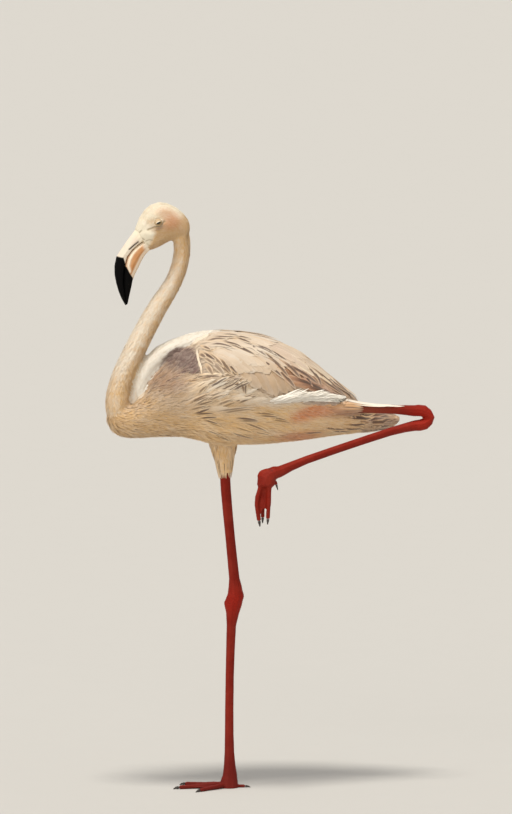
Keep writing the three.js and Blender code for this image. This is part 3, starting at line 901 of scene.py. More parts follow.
def makeVanes(name, spine, outward, halfWidth, finer, marks, roots, recipe, draw):
    # guide lines with what the vanes need on them, then the vanes themselves
    count, rings = halfWidth.shape
    base = np.arange(count)[:, None] * rings + np.arange(rings - 1)[None, :]
    mesh = meshOf(name, spine.reshape(-1, 3), [], np.stack([base, base + 1], axis=-1).reshape(-1, 2).tolist())
    giveAttribute(mesh, "outward", outward)
    giveAttribute(mesh, "halfWidth", halfWidth)
    giveAttribute(mesh, "along", np.tile(finer, count))
    giveAttribute(mesh, "seed", np.repeat(draw.uniform(0, 1, count), rings))
    giveAttribute(mesh, "marks", np.clip(marks, 0, 1))
    unwrapped = np.concatenate([unwrapOf(roots), np.zeros((count, 1))], axis=1)
    giveAttribute(mesh, "rootMap", np.repeat(unwrapped, rings, axis=0))
    piece = newObject(name, mesh)
    values = {"Columns": recipe.get("columns", 5), "Camber": recipe.get("camber", 0.25)}
    values.update({"Patch": recipe.get("patch", 0.003), "Finish": recipe.get("finish", plumage)})
    runTree(piece, vaneGroup, values)
    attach(piece, "root")
    recipe.get("slot", "plumage")
    print(name, count, "vanes", len(piece.data.polygons) * 2, "triangles")
    return piece


def marksAlong(spine, outward, parts):
    # the skin's markings along each vane, drawn a little towards those at its middle
    own = 0.6
    count, rings, _ = spine.shape
    each = markingsAt(spine.reshape(-1, 3) / mm, outward.reshape(-1, 3), np.repeat(parts, rings))
    each = each.reshape(count, rings, 4)
    return own * each + (1 - own) * each[:, rings // 2][:, None]


def growCoat(name, cover, recipe):
    # vanes that creep from scattered roots over the skin, along the lie of the plumage
    roots = scatter(cover, recipe["spacing"], recipe["seed"])
    count = len(roots)
    draw = np.random.default_rng(recipe["seed"])
    finer, widths = widthsOf(recipe)
    length = recipe["length"](roots / mm) * mm * draw.uniform(0.8, 1.15, count)
    width = recipe["width"](roots / mm) * mm * draw.uniform(0.8, 1.15, count) / 2
    turn = np.radians(draw.normal(0, recipe["scatter"], count))
    low, high = recipe["lift"]
    raised = draw.uniform(0, recipe["raise"], count)
    place, faces = onSkin(roots)
    spine, outward = np.empty((count, len(finer), 3)), np.empty((count, len(finer), 3))
    last = 0.0
    for ring, share in enumerate(finer):
        if ring:
            along = turned(faceLie[faces], faceOut[faces], turn)
            place, faces = onSkin(place + along * (length * (share - last))[:, None])
            last = share
        out = faceOut[faces]
        height = (low + (high - low) * share**0.8) + raised * share**2
        spine[:, ring] = place + out * (height * mm)[:, None]
        outward[:, ring] = out
        if ring == len(finer) // 2:
            middle = faces.copy()
    marks = marksAlong(spine, outward, facePart[middle])
    marks[:, :, 3] = 0
    marks[:, :, 0] += draw.normal(0, recipe.get("mottle", 0.06), (count, 1))
    halfWidth = width[:, None] * widths[None, :] * (1 + draw.uniform(-0.1, 0.1, (count, len(finer))))
    return makeVanes(name, spine, outward, halfWidth, finer, marks, roots, recipe, draw)


def layFeathers(name, lines, recipe):
    # feathers laid one by one from root to tip, and the same again on the other side
    draw = np.random.default_rng(recipe["seed"])
    finer, widths = widthsOf(recipe)
    lines = np.array(lines, float)
    lines = np.concatenate([lines, lines * (1, -1, 1, 1, -1, 1)])
    count = len(lines)
    root, tip = lines[:, :3], lines[:, 3:]
    reach = tip - root
    root = root - reach * recipe.get("before", 0) + draw.normal(0, 0.5, root.shape)
    tip = tip + reach * recipe.get("after", 0) + draw.normal(0, recipe.get("ragged", 1), root.shape)
    size = np.linalg.norm(tip - root, axis=1)
    sag = draw.normal(recipe.get("sag", 0.05), 0.02, count) * size
    spine, outward = np.empty((count, len(finer), 3)), np.empty((count, len(finer), 3))
    low, high = recipe["lift"]
    raised = draw.uniform(0, recipe["raise"], count)
    tilt = np.array((0, 0, recipe.get("tilt", 0)))
    for ring, share in enumerate(finer):
        spot = root + (tip - root) * share
        spot[:, 2] += sag * 4 * share * (1 - share)
        landed, faces = onSkin(spot * mm)
        out = faceOut[faces]
        height = low + (high - low) * share**0.6 + raised * share
        spine[:, ring] = landed + out * (height * mm)[:, None]
        outward[:, ring] = unit(out + tilt)
        if ring == len(finer) // 2:
            middle = faces.copy()
    outward = unit(outward + np.roll(outward, 1, axis=1) * (np.arange(len(finer)) > 0)[None, :, None])
    marks = marksAlong(spine, outward, facePart[middle]) + np.array(recipe.get("tint", (0, 0, 0, 0)))
    marks[:, :, 3] = draw.uniform(*recipe["streak"], (count, 1))
    marks[:, :, 0] += draw.normal(0, 0.1, (count, 1))
    width = recipe["width"] / 2 * draw.uniform(0.85, 1.15, count) * mm
    halfWidth = width[:, None] * widths[None, :]
    return makeVanes(name, spine, outward, halfWidth, finer, marks, root * mm, recipe, draw)


def fanOf(first, last, count):
    # a row of feathers between its first and its last
    first, last = np.array(first, float), np.array(last, float)
    return [tuple(first + (last - first) * i / (count - 1)) for i in range(count)]


def buildPlumage(bench, cream="cream"):
    place = bench.place()
    colour = plumageColour(bench, bench.attribute("marks"), place, cream)
    streak = bench.attribute("marks", "Alpha")
    across, along, seed = bench.parts(bench.attribute("vane", "Vector"))
    side = across.absolute()
    barbs = ((along * 34 + side * 9 + seed * 6) * 6.283).wave()
    ragged = bench.noise(bench.stretch(place, (300, 300, 300)), 1, 2) * 0.16  # the shaft's ragged edge
    shaft = 1 - bench.ramp(side - along * 0.14 + ragged, 0.3, 0.68)
    shaft = shaft * bench.ramp(along, 0.18, 0.5) * (1 - bench.ramp(along, 0.84, 0.98))
    colour = bench.blend(streak * shaft, colour, plumageColours["streak"])
    paler = bench.ramp(side, 0.45, 1.0) * 0.22 + bench.ramp(along, 0.6, 1.0) * 0.14
    colour = bench.blend(paler, colour, plumageColours["edge"])
    # painted shade towards each vane's root, where the one above covers it, with barb and random tone
    rootShadeAndTone = (1 - bench.ramp(along, 0.1, 0.5)) * 0.16 + (barbs * 0.5 + 0.5) * 0.05 + seed * 0.06
    colour = bench.blend(rootShadeAndTone, colour, plumageColours["base"])
    height = barbs * 0.3 + (1 - bench.ramp(side, 0.0, 0.12))
    return bench.surface(colour, 0.66 + seed * 0.12, (height, 0.35, 0.4), {"Sheen Weight": 0.12})


plumage = newMaterial("plumage", buildPlumage)
whitePlumage = newMaterial("white_plumage", lambda bench: buildPlumage(bench, "white"))
facePlumage = newMaterial("face_plumage", lambda bench: buildPlumage(bench, "face"))


def isPart(*names):
    return np.isin(part, [partNames.index(name) for name in names]).astype(float)


def fixed(value):
    return lambda places: np.full(len(places), float(value))


down = {"shape": "wisp", "rings": 4, "columns": 3, "scatter": 14}
faceDown = {
    **down, "length": fixed(5.4), "width": fixed(1.9), "spacing": 1.5, "lift": (-0.3, 0.9), "raise": 0.4,
    "seed": 11, "mottle": 0.07, "finish": facePlumage,
}
neckDown = {
    **down, "lift": (-0.4, 1.5), "raise": 0.7, "spacing": 2.0, "seed": 12, "mottle": 0.12,
    "length": lambda p: np.interp(p[:, 2], [600, 700, 860], [13, 10, 7.5]),
    "width": lambda p: np.interp(p[:, 2], [600, 700, 860], [3.6, 2.9, 2.3]),
}
# the neck root in the white plumage, as painted light
rootDown = {**neckDown, "seed": 19, "finish": whitePlumage, "mottle": 0.05}


def alongBody(*values):
    return lambda places: np.interp(places[:, 0], [-200, -120, 60], values)


def alongWing(*values):
    return lambda places: np.interp(places[:, 0], [-100, 0, 120], values)


thighHem = {"top": 556, "bottom": 503, "coatEnd": 514}


def bodyLength(places, atBreast, atRump):
    # shorter towards the breast and down the thigh, whose lowest feathers end at its hem
    length = np.interp(places[:, 0], [-200, -120, 60], [16, (atBreast + 16) / 2, atRump])
    z = places[:, 2]
    return np.where(z < thighHem["top"], np.minimum(length, (z - thighHem["bottom"]) * 0.6), length)


broad = {"shape": "pointed", "rings": 6, "columns": 4, "lift": (-0.4, 3.0), "raise": 0.5, "scatter": 6}
silk = {"shape": "wisp", "rings": 5, "columns": 3}
bodyVanes = {
    **broad, "length": lambda p: bodyLength(p, 32, 34), "width": alongBody(5.5, 7.5, 9), "spacing": 4.6,
    "lift": (-0.5, 3.1), "scatter": 8, "seed": 13,
}
bodySilk = {
    **silk, "length": lambda p: bodyLength(p, 24, 27), "width": alongBody(2.2, 2.7, 3.1), "spacing": 3.2,
    "lift": (1.2, 3.9), "raise": 0.6, "scatter": 9, "seed": 17, "mottle": 0.09,
}
wingVanes = {
    **broad, "shape": "rounded", "rings": 7, "length": alongWing(24, 34, 44), "width": alongWing(9.5, 11, 12),
    "spacing": 5.2, "seed": 14,
}
wingSilk = {
    **silk, "length": alongWing(18, 25, 30), "width": fixed(2.6), "spacing": 4.2, "lift": (1.5, 3.6),
    "raise": 0.5, "scatter": 7, "seed": 18, "mottle": 0.07,
}
tailVanes = {**broad, "length": fixed(26), "width": fixed(8), "spacing": 5.0, "seed": 15}


aboveHem = (points[:, 2] > thighHem["coatEnd"]).astype(float)
growCoat("face_down", isPart("head") * (1 - bare) * (1 - foldsAt(points)), faceDown)
growCoat("neck_down", isPart("neck"), neckDown)
growCoat("root_down", isPart("root"), rootDown)
growCoat("body_vanes", isPart("trunk", "thigh") * aboveHem, bodyVanes)
growCoat("body_silk", isPart("trunk", "thigh") * aboveHem, bodySilk)
growCoat("wing_vanes", isPart("wing"), wingVanes)
growCoat("wing_silk", isPart("wing"), wingSilk)
growCoat("tail_vanes", isPart("tail"), tailVanes)

# feathers laid one by one on the left side: root x, y, z, then tip x, y, z
quill = {
    "shape": "quill", "rings": 10, "columns": 6, "raise": 0.8, "sag": 0.06, "patch": 0.01,
    "slot": "wing_plumage",
}
mark = {
    "shape": "pointed", "rings": 9, "columns": 6, "raise": 0.6, "sag": 0.04, "patch": 0.008,
    "slot": "wing_plumage",
}
bodyMark = {**mark, "raise": 0.5, "sag": 0.02, "slot": "plumage"}
wisp = {"shape": "wisp", "rings": 6, "columns": 3, "patch": 0.004}

tertials = {
    **quill, "width": 14, "lift": (2.0, 3.8), "streak": (0.1, 0.5), "seed": 21, "tint": (0.2, 0.25, 0.02, 0),
}
layFeathers("tertials", [
    *fanOf((20, -78, 700, 106, -80, 656), (84, -40, 712, 176, -46, 638), 9),
    *fanOf((40, -80, 690, 112, -80, 652), (110, -50, 694, 186, -36, 634), 8),
    *fanOf((90, -78, 668, 150, -62, 640), (140, -44, 668, 196, -26, 628), 5),
], tertials)

tertialMarks = {
    **mark, "width": 11, "lift": (4.4, 6.4), "streak": (0.85, 1.0), "seed": 22, "tint": (0.1, 0.12, 0.04, 0),
    "before": 0.8, "after": 0.15,
}
layFeathers("tertial_marks", [
    (86, -73, 683, 126, -69, 656), (118, -57, 679, 134, -66, 657), (126, -57, 672, 133, -67, 653),
    (111, -80, 651, 155, -62, 637), (137, -52, 668, 175, -47, 636), (152, -44, 660, 184, -36, 636),
    (170, -26, 653, 191, -34, 630), (144, -58, 656, 178, -48, 632), (98, -81, 659, 147, -66, 638),
    (64, -81, 682, 87, -87, 655), (77, -72, 688, 97, -77, 669), (54, -75, 694, 75, -83, 672),
    (116, -76, 650, 150, -65, 640), (136, -68, 644, 172, -54, 633), (104, -70, 672, 116, -74, 655),
], tertialMarks)

paleTertials = {
    **quill, "width": 13, "lift": (3.4, 5.6), "raise": 0.7, "streak": (0.0, 0.25), "seed": 35, "ragged": 3,
    "tint": (-0.2, -0.5, -0.3, 0),
}
layFeathers("pale_tertials", [
    *fanOf((58, -62, 702, 122, -56, 667), (124, -20, 690, 186, -24, 632), 9),
    *fanOf((96, -46, 692, 152, -50, 653), (140, -12, 676, 200, -14, 626), 7),
], paleTertials)

coverts = {
    **quill, "shape": "rounded", "columns": 7, "width": 21, "lift": (2.4, 5.0), "raise": 0.6, "sag": 0.1,
    "streak": (0.0, 0.2), "seed": 23, "ragged": 2.5, "before": 0.5, "camber": 0.3,
}
layFeathers("greater_coverts", [
    (-6, -88, 682, 14, -94, 662), (3, -87, 684, 27, -94, 655), (16, -87, 684, 39, -93, 650),
    (28, -87, 681, 50, -93, 646), (41, -87, 678, 61, -91, 642), (51, -86, 678, 72, -89, 643),
    (61, -86, 673, 84, -88, 647),
], coverts)

panel = {
    **quill, "shape": "rounded", "width": 17, "lift": (3.0, 5.6), "raise": 0.7, "sag": 0.08,
    "streak": (0.0, 0.12), "seed": 24, "ragged": 3, "tint": (-0.1, 0, 0, 0),
}
layFeathers("median_coverts", [
    *fanOf((-46, -66, 708, -4, -87, 680), (20, -72, 710, 62, -86, 676), 8),
    *fanOf((-40, -60, 713, 8, -84, 694), (26, -64, 712, 70, -84, 682), 7),
    (-9, -80, 698, 21, -88, 682), (-27, -77, 701, 3, -89, 682),
], panel)

scapulars = {
    **quill, "rings": 11, "columns": 5, "width": 12, "lift": (3.0, 5.4), "streak": (0.0, 0.15), "seed": 25,
    "tint": (-0.08, 0.03, 0, 0),
}
layFeathers("scapulars", [
    *fanOf((-60, -40, 720, 24, -74, 702), (-30, -8, 733, 74, -30, 717), 8),
    *fanOf((-20, -62, 719, 68, -80, 686), (30, -12, 732, 128, -30, 694), 9),
    *fanOf((20, -60, 717, 92, -74, 680), (80, -16, 718, 158, -26, 668), 8),
], scapulars)

backMarks = {
    **mark, "width": 10.5, "lift": (4.2, 6.0), "sag": 0.05, "streak": (0.8, 1.0), "seed": 26,
    "before": 0.75, "after": 0.2,
}
layFeathers("back_marks", [
    (-36, -51, 721, -11, -63, 716), (-17, -52, 723, 4, -63, 716), (-7, -62, 718, 23, -71, 705),
    (-29, -36, 731, -6, -41, 729), (1, -36, 731, 21, -40, 727), (5, -42, 728, 20, -50, 721),
    (-15, -32, 733, 4, -37, 730), (15, -53, 721, 42, -69, 703), (32, -52, 718, 56, -62, 707),
    (48, -61, 710, 76, -67, 694), (34, -58, 715, 62, -66, 700), (35, -12, 732, 70, -9, 722),
    (35, -79, 694, 64, -86, 671), (43, -68, 704, 65, -77, 688), (-40, -36, 727, -18, -43, 728),
], backMarks)

shoulderMarks = {
    **mark, "rings": 8, "width": 9.5, "lift": (3.6, 5.6), "streak": (0.6, 1.0), "seed": 27,
    "tint": (0.12, 0.0, 0, 0), "before": 0.7, "after": 0.15,
}
layFeathers("shoulder_marks", [
    (-52, -46, 717, -45, -59, 713), (-52, -60, 708, -39, -76, 698), (-51, -68, 700, -41, -80, 693),
    (-44, -67, 706, -30, -84, 691), (-41, -81, 691, -28, -90, 676), (-29, -86, 687, -17, -91, 676),
    (-52, -78, 689, -45, -85, 678), (-21, -83, 695, -6, -91, 678), (-31, -80, 698, -17, -90, 680),
    (-60, -56, 707, -54, -65, 702),
], shoulderMarks)

shoulderEdge = {
    **mark, "rings": 7, "columns": 4, "width": 3.4, "lift": (4.0, 5.6), "raise": 0.5, "sag": 0.02,
    "streak": (0, 0), "seed": 33, "tint": (-0.1, -0.3, -0.7, 0), "patch": 0.006, "before": 0.2,
}
layFeathers("shoulder_edge", [
    (-66, -46, 716, -65, -60, 703), (-66, -52, 711, -64.5, -66, 696), (-65.5, -60, 704, -64, -72, 688),
    (-65, -66, 697, -63, -78, 681), (-64, -72, 690, -62, -80, 677), (-64, -79, 677, -46, -85, 679),
    (-54, -83, 678, -34, -89, 679), (-42, -86, 678, -22, -91, 678),
], shoulderEdge)

flankLights = {
    **bodyMark, "rings": 8, "columns": 5, "width": 8.5, "lift": (2.0, 4.8), "raise": 0.6, "streak": (0, 0),
    "seed": 34, "tint": (-0.15, 0, 0, 0), "before": 0.3, "after": 0.1,
}
layFeathers("flank_lights", [
    (-86, -68, 640, -52, -84, 664), (-76, -74, 652, -44, -88, 670), (-66, -79, 660, -36, -90, 675),
    (-60, -82, 645, -26, -91, 664), (-48, -85, 640, -12, -92, 658), (-60, -80, 634, -20, -90, 650),
    (-36, -88, 660, -8, -93, 676), (-26, -90, 650, 4, -93, 668), (-20, -88, 632, 14, -92, 640),
    (-14, -88, 640, 22, -93, 652), (4, -88, 630, 40, -90, 636), (-62, -72, 616, -22, -84, 624),
], flankLights)

flankMarks = {
    **bodyMark, "width": 7, "lift": (2.6, 4.8), "streak": (0.6, 0.95), "seed": 28, "before": 0.35,
    "after": 0.15,
}
flankLines = [
    (-82, -71, 629, -56, -84, 645), (-70, -78, 633, -34, -90, 650), (-15, -90, 632, 18, -91, 645),
    (-42, -81, 617, 12, -88, 624), (-11, -81, 605, 25, -81, 603), (5, -77, 598, 44, -66, 584),
    (-9, -72, 592, 22, -66, 584), (-13, -64, 583, 23, -50, 570), (-39, -56, 579, -12, -42, 566),
    (-58, -70, 603, -34, -73, 597), (43, -82, 607, 78, -76, 601), (-81, -68, 618, -55, -81, 627),
    (-79, -73, 632, -51, -85, 641), (-40, -85, 627, -16, -91, 637), (22, -84, 613, 56, -82, 609),
    (-73, -68, 610, -44, -79, 614), (-50, -58, 586, -27, -59, 578), (21, -65, 582, 53, -59, 576),
    (-76, -75, 648, -59, -82, 663), (-53, -84, 653, -23, -92, 671), (-38, -89, 651, -3, -93, 670),
    (-23, -91, 656, 7, -93, 668), (-1, -93, 668, 4, -91, 650), (-81, -73, 632, -50, -85, 644),
    (-49, -86, 644, -28, -90, 650), (-67, -76, 675, -39, -87, 677), (-44, -87, 663, -10, -92, 674),
]
besideThem = [tuple(np.array(line) + (7, 0, -4.5, 5, 0, -4)) for line in flankLines]
layFeathers("flank_marks", flankLines + besideThem, flankMarks)

chestMarks = {
    **bodyMark, "rings": 7, "columns": 5, "width": 5.5, "lift": (1.6, 4.0), "streak": (0.6, 0.9), "seed": 29,
    "before": 0.5, "after": 0.15, "tint": (0.1, 0, 0.08, 0), "patch": 0.006,
}
layFeathers("chest_marks", [
    (-129, -24, 662, -112, -37, 673), (-125, -38, 655, -111, -49, 660), (-117, -42, 661, -95, -57, 669),
    (-107, -46, 668, -87, -60, 675), (-95, -50, 677, -75, -66, 684), (-125, -19, 670, -110, -23, 683),
    (-88, -65, 662, -65, -77, 667), (-79, -70, 667, -55, -82, 675), (-136, -23, 650, -124, -38, 657),
    (-97, -61, 656, -79, -71, 663),
], chestMarks)

tailQuills = {
    **quill, "width": 12, "lift": (0.5, 3.4), "sag": 0.0, "streak": (0.75, 1.0), "seed": 30, "before": 0.2,
    "slot": "tail_plumage", "tint": (0.4, 0.05, 0.12, 0),
}
layFeathers("tail_quills", [
    *fanOf((196, -40, 612, 268, -26, 600), (192, -28, 586, 262, -22, 584), 6),
    *fanOf((200, -22, 618, 274, -14, 603), (200, -8, 620, 276, -4, 604), 3),
    *fanOf((192, -16, 578, 264, -12, 581), (194, -4, 577, 268, -4, 581), 2),
], tailQuills)

tailCoverts = {
    **mark, "width": 10, "lift": (2.0, 4.6), "sag": 0.0, "streak": (0.85, 1.0), "seed": 31,
    "before": 0.3, "after": 0.1, "slot": "tail_plumage", "tint": (0.3, 0.05, 0.12, 0),
}
layFeathers("tail_coverts", [
    (162, -62, 613, 189, -46, 607), (188, -44, 609, 233, -21, 604), (177, -53, 600, 224, -31, 595),
    (180, -46, 588, 217, -32, 586), (151, -65, 618, 184, -50, 606), (169, -61, 621, 205, -35, 611),
    (166, -44, 581, 209, -28, 580), (156, -41, 576, 193, -27, 574), (137, -54, 585, 182, -37, 578),
    (104, -52, 575, 142, -46, 577), (206, -36, 603, 252, -20, 599), (200, -34, 594, 246, -22, 591),
    (186, -42, 603, 228, -28, 600), (214, -30, 590, 258, -20, 588), (172, -54, 610, 214, -36, 607),
], tailCoverts)

plumes = {
    **wisp, "rings": 7, "width": 4.2, "lift": (3.4, 8.6), "raise": 3, "sag": 0.06, "streak": (0.0, 0.0),
    "seed": 32, "tilt": 0.7, "ragged": 2, "before": 0.1, "after": 0.1, "tint": (-1, -0.8, -0.8, 0),
    "patch": 0.005, "finish": whitePlumage,
}
layFeathers("white_plumes", [
    *fanOf((56, -88, 632, 92, -86, 648), (128, -74, 634, 168, -56, 629), 70),
    *fanOf((66, -88, 634, 92, -84, 642), (150, -68, 630, 188, -48, 621), 40),
    *fanOf((50, -90, 634, 80, -86, 640), (104, -80, 638, 134, -70, 640), 50),
    *fanOf((146, -66, 636, 180, -50, 628), (150, -63, 631, 184, -49, 624), 10),
    *fanOf((158, -60, 635, 190, -46, 626), (162, -58, 630, 194, -46, 620), 16),
], plumes)

nape = {
    **wisp, "width": 2.8, "lift": (0.3, 1.7), "raise": 0.2, "sag": 0.0, "streak": (0.0, 0.0), "seed": 36,
    "ragged": 2.5, "tint": (0.05, 0, -0.1, 0),
}
layFeathers("nape_down", [
    *fanOf((-64, -1, 908, -62, -1, 886), (-68, -12, 908, -66, -12, 886), 24),
    *fanOf((-63, -2, 900, -62, -2, 876), (-67, -11, 900, -65, -11, 876), 20),
], nape)


def hangFeathers(name, starts, ends, facing, recipe):
    # feathers that leave the skin: round the bare leg, and the wing tips over the tail
    draw = np.random.default_rng(recipe["seed"])
    finer, widths = widthsOf(recipe)
    count = len(starts)
    share = finer[None, :, None]
    spine = starts[:, None] * (1 - share) + ends[:, None] * share
    bow = np.sin(np.pi * share) * recipe.get("bow", 0)
    spine = (spine + facing[:, None] * bow) * mm
    outward = np.repeat(facing[:, None], len(finer), axis=1)
    marks = marksAlong(spine, outward, np.full(count, partNames.index(recipe["part"])))
    marks += np.array(recipe.get("tint", (0, 0, 0, 0)))
    marks[:, :, 0] += draw.normal(0, 0.1, (count, 1))
    marks[:, :, 3] = np.where(draw.uniform(0, 1, (count, 1)) < recipe["streaks"], 0.7, 0)
    halfWidth = recipe["width"] / 2 * mm * draw.uniform(0.8, 1.2, count)[:, None] * widths[None, :]
    return makeVanes(name, spine, outward, halfWidth, finer, marks, starts * mm, recipe, draw)


trousers = {
    **wisp, "width": 4.2, "bow": 0.6, "part": "thigh", "streaks": 0.2, "seed": 41, "count": 150,
    "top": (-5.4, 22.5, 547), "hem": (-4.4, 18.9, 503.5), "topReach": (17.5, 16.5), "hemReach": (9.9, 9.2),
}


def ringOfFeathers(name, recipe, axisAlong):
    # feathers from a ring on the thigh to a ragged hem round the bare leg
    draw = np.random.default_rng(recipe["seed"] + 1)
    angles = np.linspace(0, 2 * math.pi, recipe["count"], endpoint=False)
    angles = angles + draw.normal(0, 0.03, recipe["count"])
    axisAlong = np.array(axisAlong, float)
    right = unit(np.cross(axisAlong, (0, 1.0, 0)))
    front = np.cross(right, axisAlong)
    facing = np.cos(angles)[:, None] * right + np.sin(angles)[:, None] * front
    drop = draw.uniform(-14, 8, recipe["count"])[:, None]

    def at(centre, reach, slip):
        ring = np.cos(angles)[:, None] * right * reach[0] + np.sin(angles)[:, None] * front * reach[1]
        return np.array(centre) + ring + axisAlong * slip

    starts = at(recipe["top"], recipe["topReach"], drop)
    ends = at(recipe["hem"], recipe["hemReach"], drop * 0.6 + 2)
    return hangFeathers(name, starts, ends, facing, recipe)


ringOfFeathers("trouser_feathers", trousers, (0.05, -0.05, -1))

cuff = {
    **wisp, "width": 4.6, "bow": 1.0, "part": "trunk", "streaks": 0.3, "seed": 43, "count": 80,
    "tint": (0.1, 0.35, 0.15, 0),
    "top": (148, -52, 617), "hem": (200, -47.4, 613.4), "topReach": (14, 13), "hemReach": (9.3, 8.6),
}
ringOfFeathers("raised_cuff", cuff, (0.99, 0.06, -0.06))

wingTips = {
    **quill, "rings": 9, "columns": 5, "width": 4, "bow": -3, "part": "wing", "streaks": 0, "seed": 44,
    "tint": (-0.6, -0.8, -0.8, 0), "finish": whitePlumage,
}
tipLines = np.array([  # over the raised leg: root x, y, z, then tip x, y, z
    (168, -58, 627, 250, -51, 616.5), (174, -55, 629, 264, -49, 616),
    (179, -51, 629, 276, -46, 615), (184, -44, 628, 258, -42, 617),
], float)
tipFacing = unit(np.tile((0.1, -0.5, 0.86), (len(tipLines), 1)))
hangFeathers("wing_tips", tipLines[:, :3], tipLines[:, 3:], tipFacing, wingTips)

rumpTips = {
    **quill, "rings": 9, "width": 12, "bow": -2, "part": "wing", "streaks": 0.5, "seed": 45,
    "tint": (0.1, 0.1, 0.1, 0),
}
rumpLines = np.array([  # folded over the tail, both wings
    (196, -26, 620, 250, -16, 602), (196, -14, 623, 264, -6, 602), (198, -2, 623, 272, 2, 602),
    (198, 10, 624, 266, 8, 602), (196, 20, 622, 258, 13, 602), (194, 30, 618, 246, 20, 601),
], float)
rumpFacing = unit(np.stack([np.full(6, 0.25), rumpLines[:, 1] / 80, np.full(6, 0.95)], axis=1))
hangFeathers("rump_tips", rumpLines[:, :3], rumpLines[:, 3:], rumpFacing, rumpTips)

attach(skin, "root")
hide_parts(*fleshNodes)


legShape = {"voxel": 0.85, "fairing": 16, "grow": 0.3, "easing": 45, "ankle": 24}
legKnobs = {  # x, y, z, reach and push
    "right": [(-8, 5, 298, 6, 1.3), (23, 6, 308.5, 6.5, 1.7)],
    "left": [(30, -98, 520.5, 7, 3.2)],
}
footEase = {"right": ((-6, 0, 6), 9), "left": ((36, -99, 493), 13)}  # where the pad runs into the toes
legLines = {
    "right": [(-3.6, 21, 530), (-2.6, 17, 480), (3.4, 10, 400), (8.4, 6.6, 338), (9.4, 5.8, 312),
              (6.6, 5.3, 297), (5.2, 5, 282), (3.2, 4.7, 262), (0.4, 3.2, 190), (-1, 1.6, 104),
              (-0.8, 0.6, 50), (-0.2, 0, 19), (-4, 0, 6)],
    "left": [(164, -50, 616), (215, -46, 612.5), (262, -42, 609.5), (293, -39.5, 606.5), (308, -38.4, 605.6),
             (317, -38, 595.2), (310, -38.4, 584.4), (294, -40.4, 582.5), (262, -47, 577), (184, -66, 557.5),
             (97, -85, 533.5), (61, -95, 520.5), (48, -97.5, 517.5), (38, -99, 508), (34, -100, 498)],
}
ankleSpots = {"right": (6.6, 5.3, 302), "left": (309, -38.4, 595)}
scutes = {"pitch": 3.3, "proud": 0.24, "toePitch": 2.5}
toeHub = {"right": (-2, 0, 4), "left": (37, -99, 508)}


def makeLeg(side):
    leg = remeshed(copyOf(f"leg_skin_{side}", legNodes[side], legShape["grow"] * mm), legShape["voxel"])
    legShell = Shell(leg.data)
    legShell.smooth(legShape["fairing"])
    middle, reach = footEase[side]
    ease = bell(gapTo(legShell.places / mm, middle), reach)[:, None]
    for _ in range(legShape["easing"]):
        legShell.places += 0.5 * ease * (legShell.around(legShell.places) - legShell.places)
    outward = legShell.normals()
    legShell.places -= outward * (legShape["grow"] * mm)
    places = legShell.places / mm
    distance = alongLine(places, legLines[side])[0]
    radial = gapTo(places, toeHub[side])
    onFoot = smoothStep(radial, 12, 18) * (places[:, 2] < toeHub[side][2] + 8)
    if side == "right":
        front = np.tile((-1.0, 0, 0), (len(places), 1))
        top = outward[:, 2]
    else:
        front = np.where((distance < 152)[:, None], (0, 0, -1.0), (0.2, 0, 0.98))
        top = -outward[:, 0]
    facing = (outward * front).sum(axis=1)
    ankle = bell(gapTo(places, ankleSpots[side]), legShape["ankle"])
    plates = smoothStep(facing, 0.25, 0.6) * (1 - onFoot) * (1 - 0.8 * ankle)
    plates = np.where(onFoot > 0.5, smoothStep(top, 0.35, 0.7) * onFoot, plates)
    pitch = np.where(onFoot > 0.5, scutes["toePitch"], scutes["pitch"])
    ladder = np.where(onFoot > 0.5, radial, distance) / pitch
    step = np.abs(2 * (ladder % 1) - 1)
    legShell.places += outward * ((1 - step**5) * plates * scutes["proud"] * mm)[:, None]
    for x, y, z, reach, push in legKnobs[side]:
        legShell.places += outward * (push * mm * bell(gapTo(places, (x, y, z)), reach))[:, None]
    creases = ankle * 0.35 * (np.sin(ladder * 6.6) - 0.5)
    legShell.places += outward * (creases * mm)[:, None]
    if side == "right":
        legShell.places[:, 2] = np.maximum(legShell.places[:, 2], 0)
    legShell.write(leg.data)
    giveAttribute(leg.data, "scute", np.stack([ladder, plates, np.zeros(len(ladder))], axis=1))
    giveAttribute(leg.data, "ankle", ankle)
    giveAttribute(leg.data, "foot", smoothStep(-places[:, 2], -130, 0) * (side == "right"))
    paint(leg, legFinish)
    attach(leg, "root")
    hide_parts(*legNodes[side])
    print("leg", side, len(leg.data.polygons))
    return leg


legColours = {
    "red": (0.215, 0.012, 0.005),
    "bright": (0.40, 0.018, 0.008),
    "deep": (0.10, 0.010, 0.008),
    "dull": (0.24, 0.075, 0.04),
    "seam": (0.07, 0.008, 0.006),
    "scurf": (0.32, 0.07, 0.045),
    "mottle": (0.26, 0.022, 0.011),
}


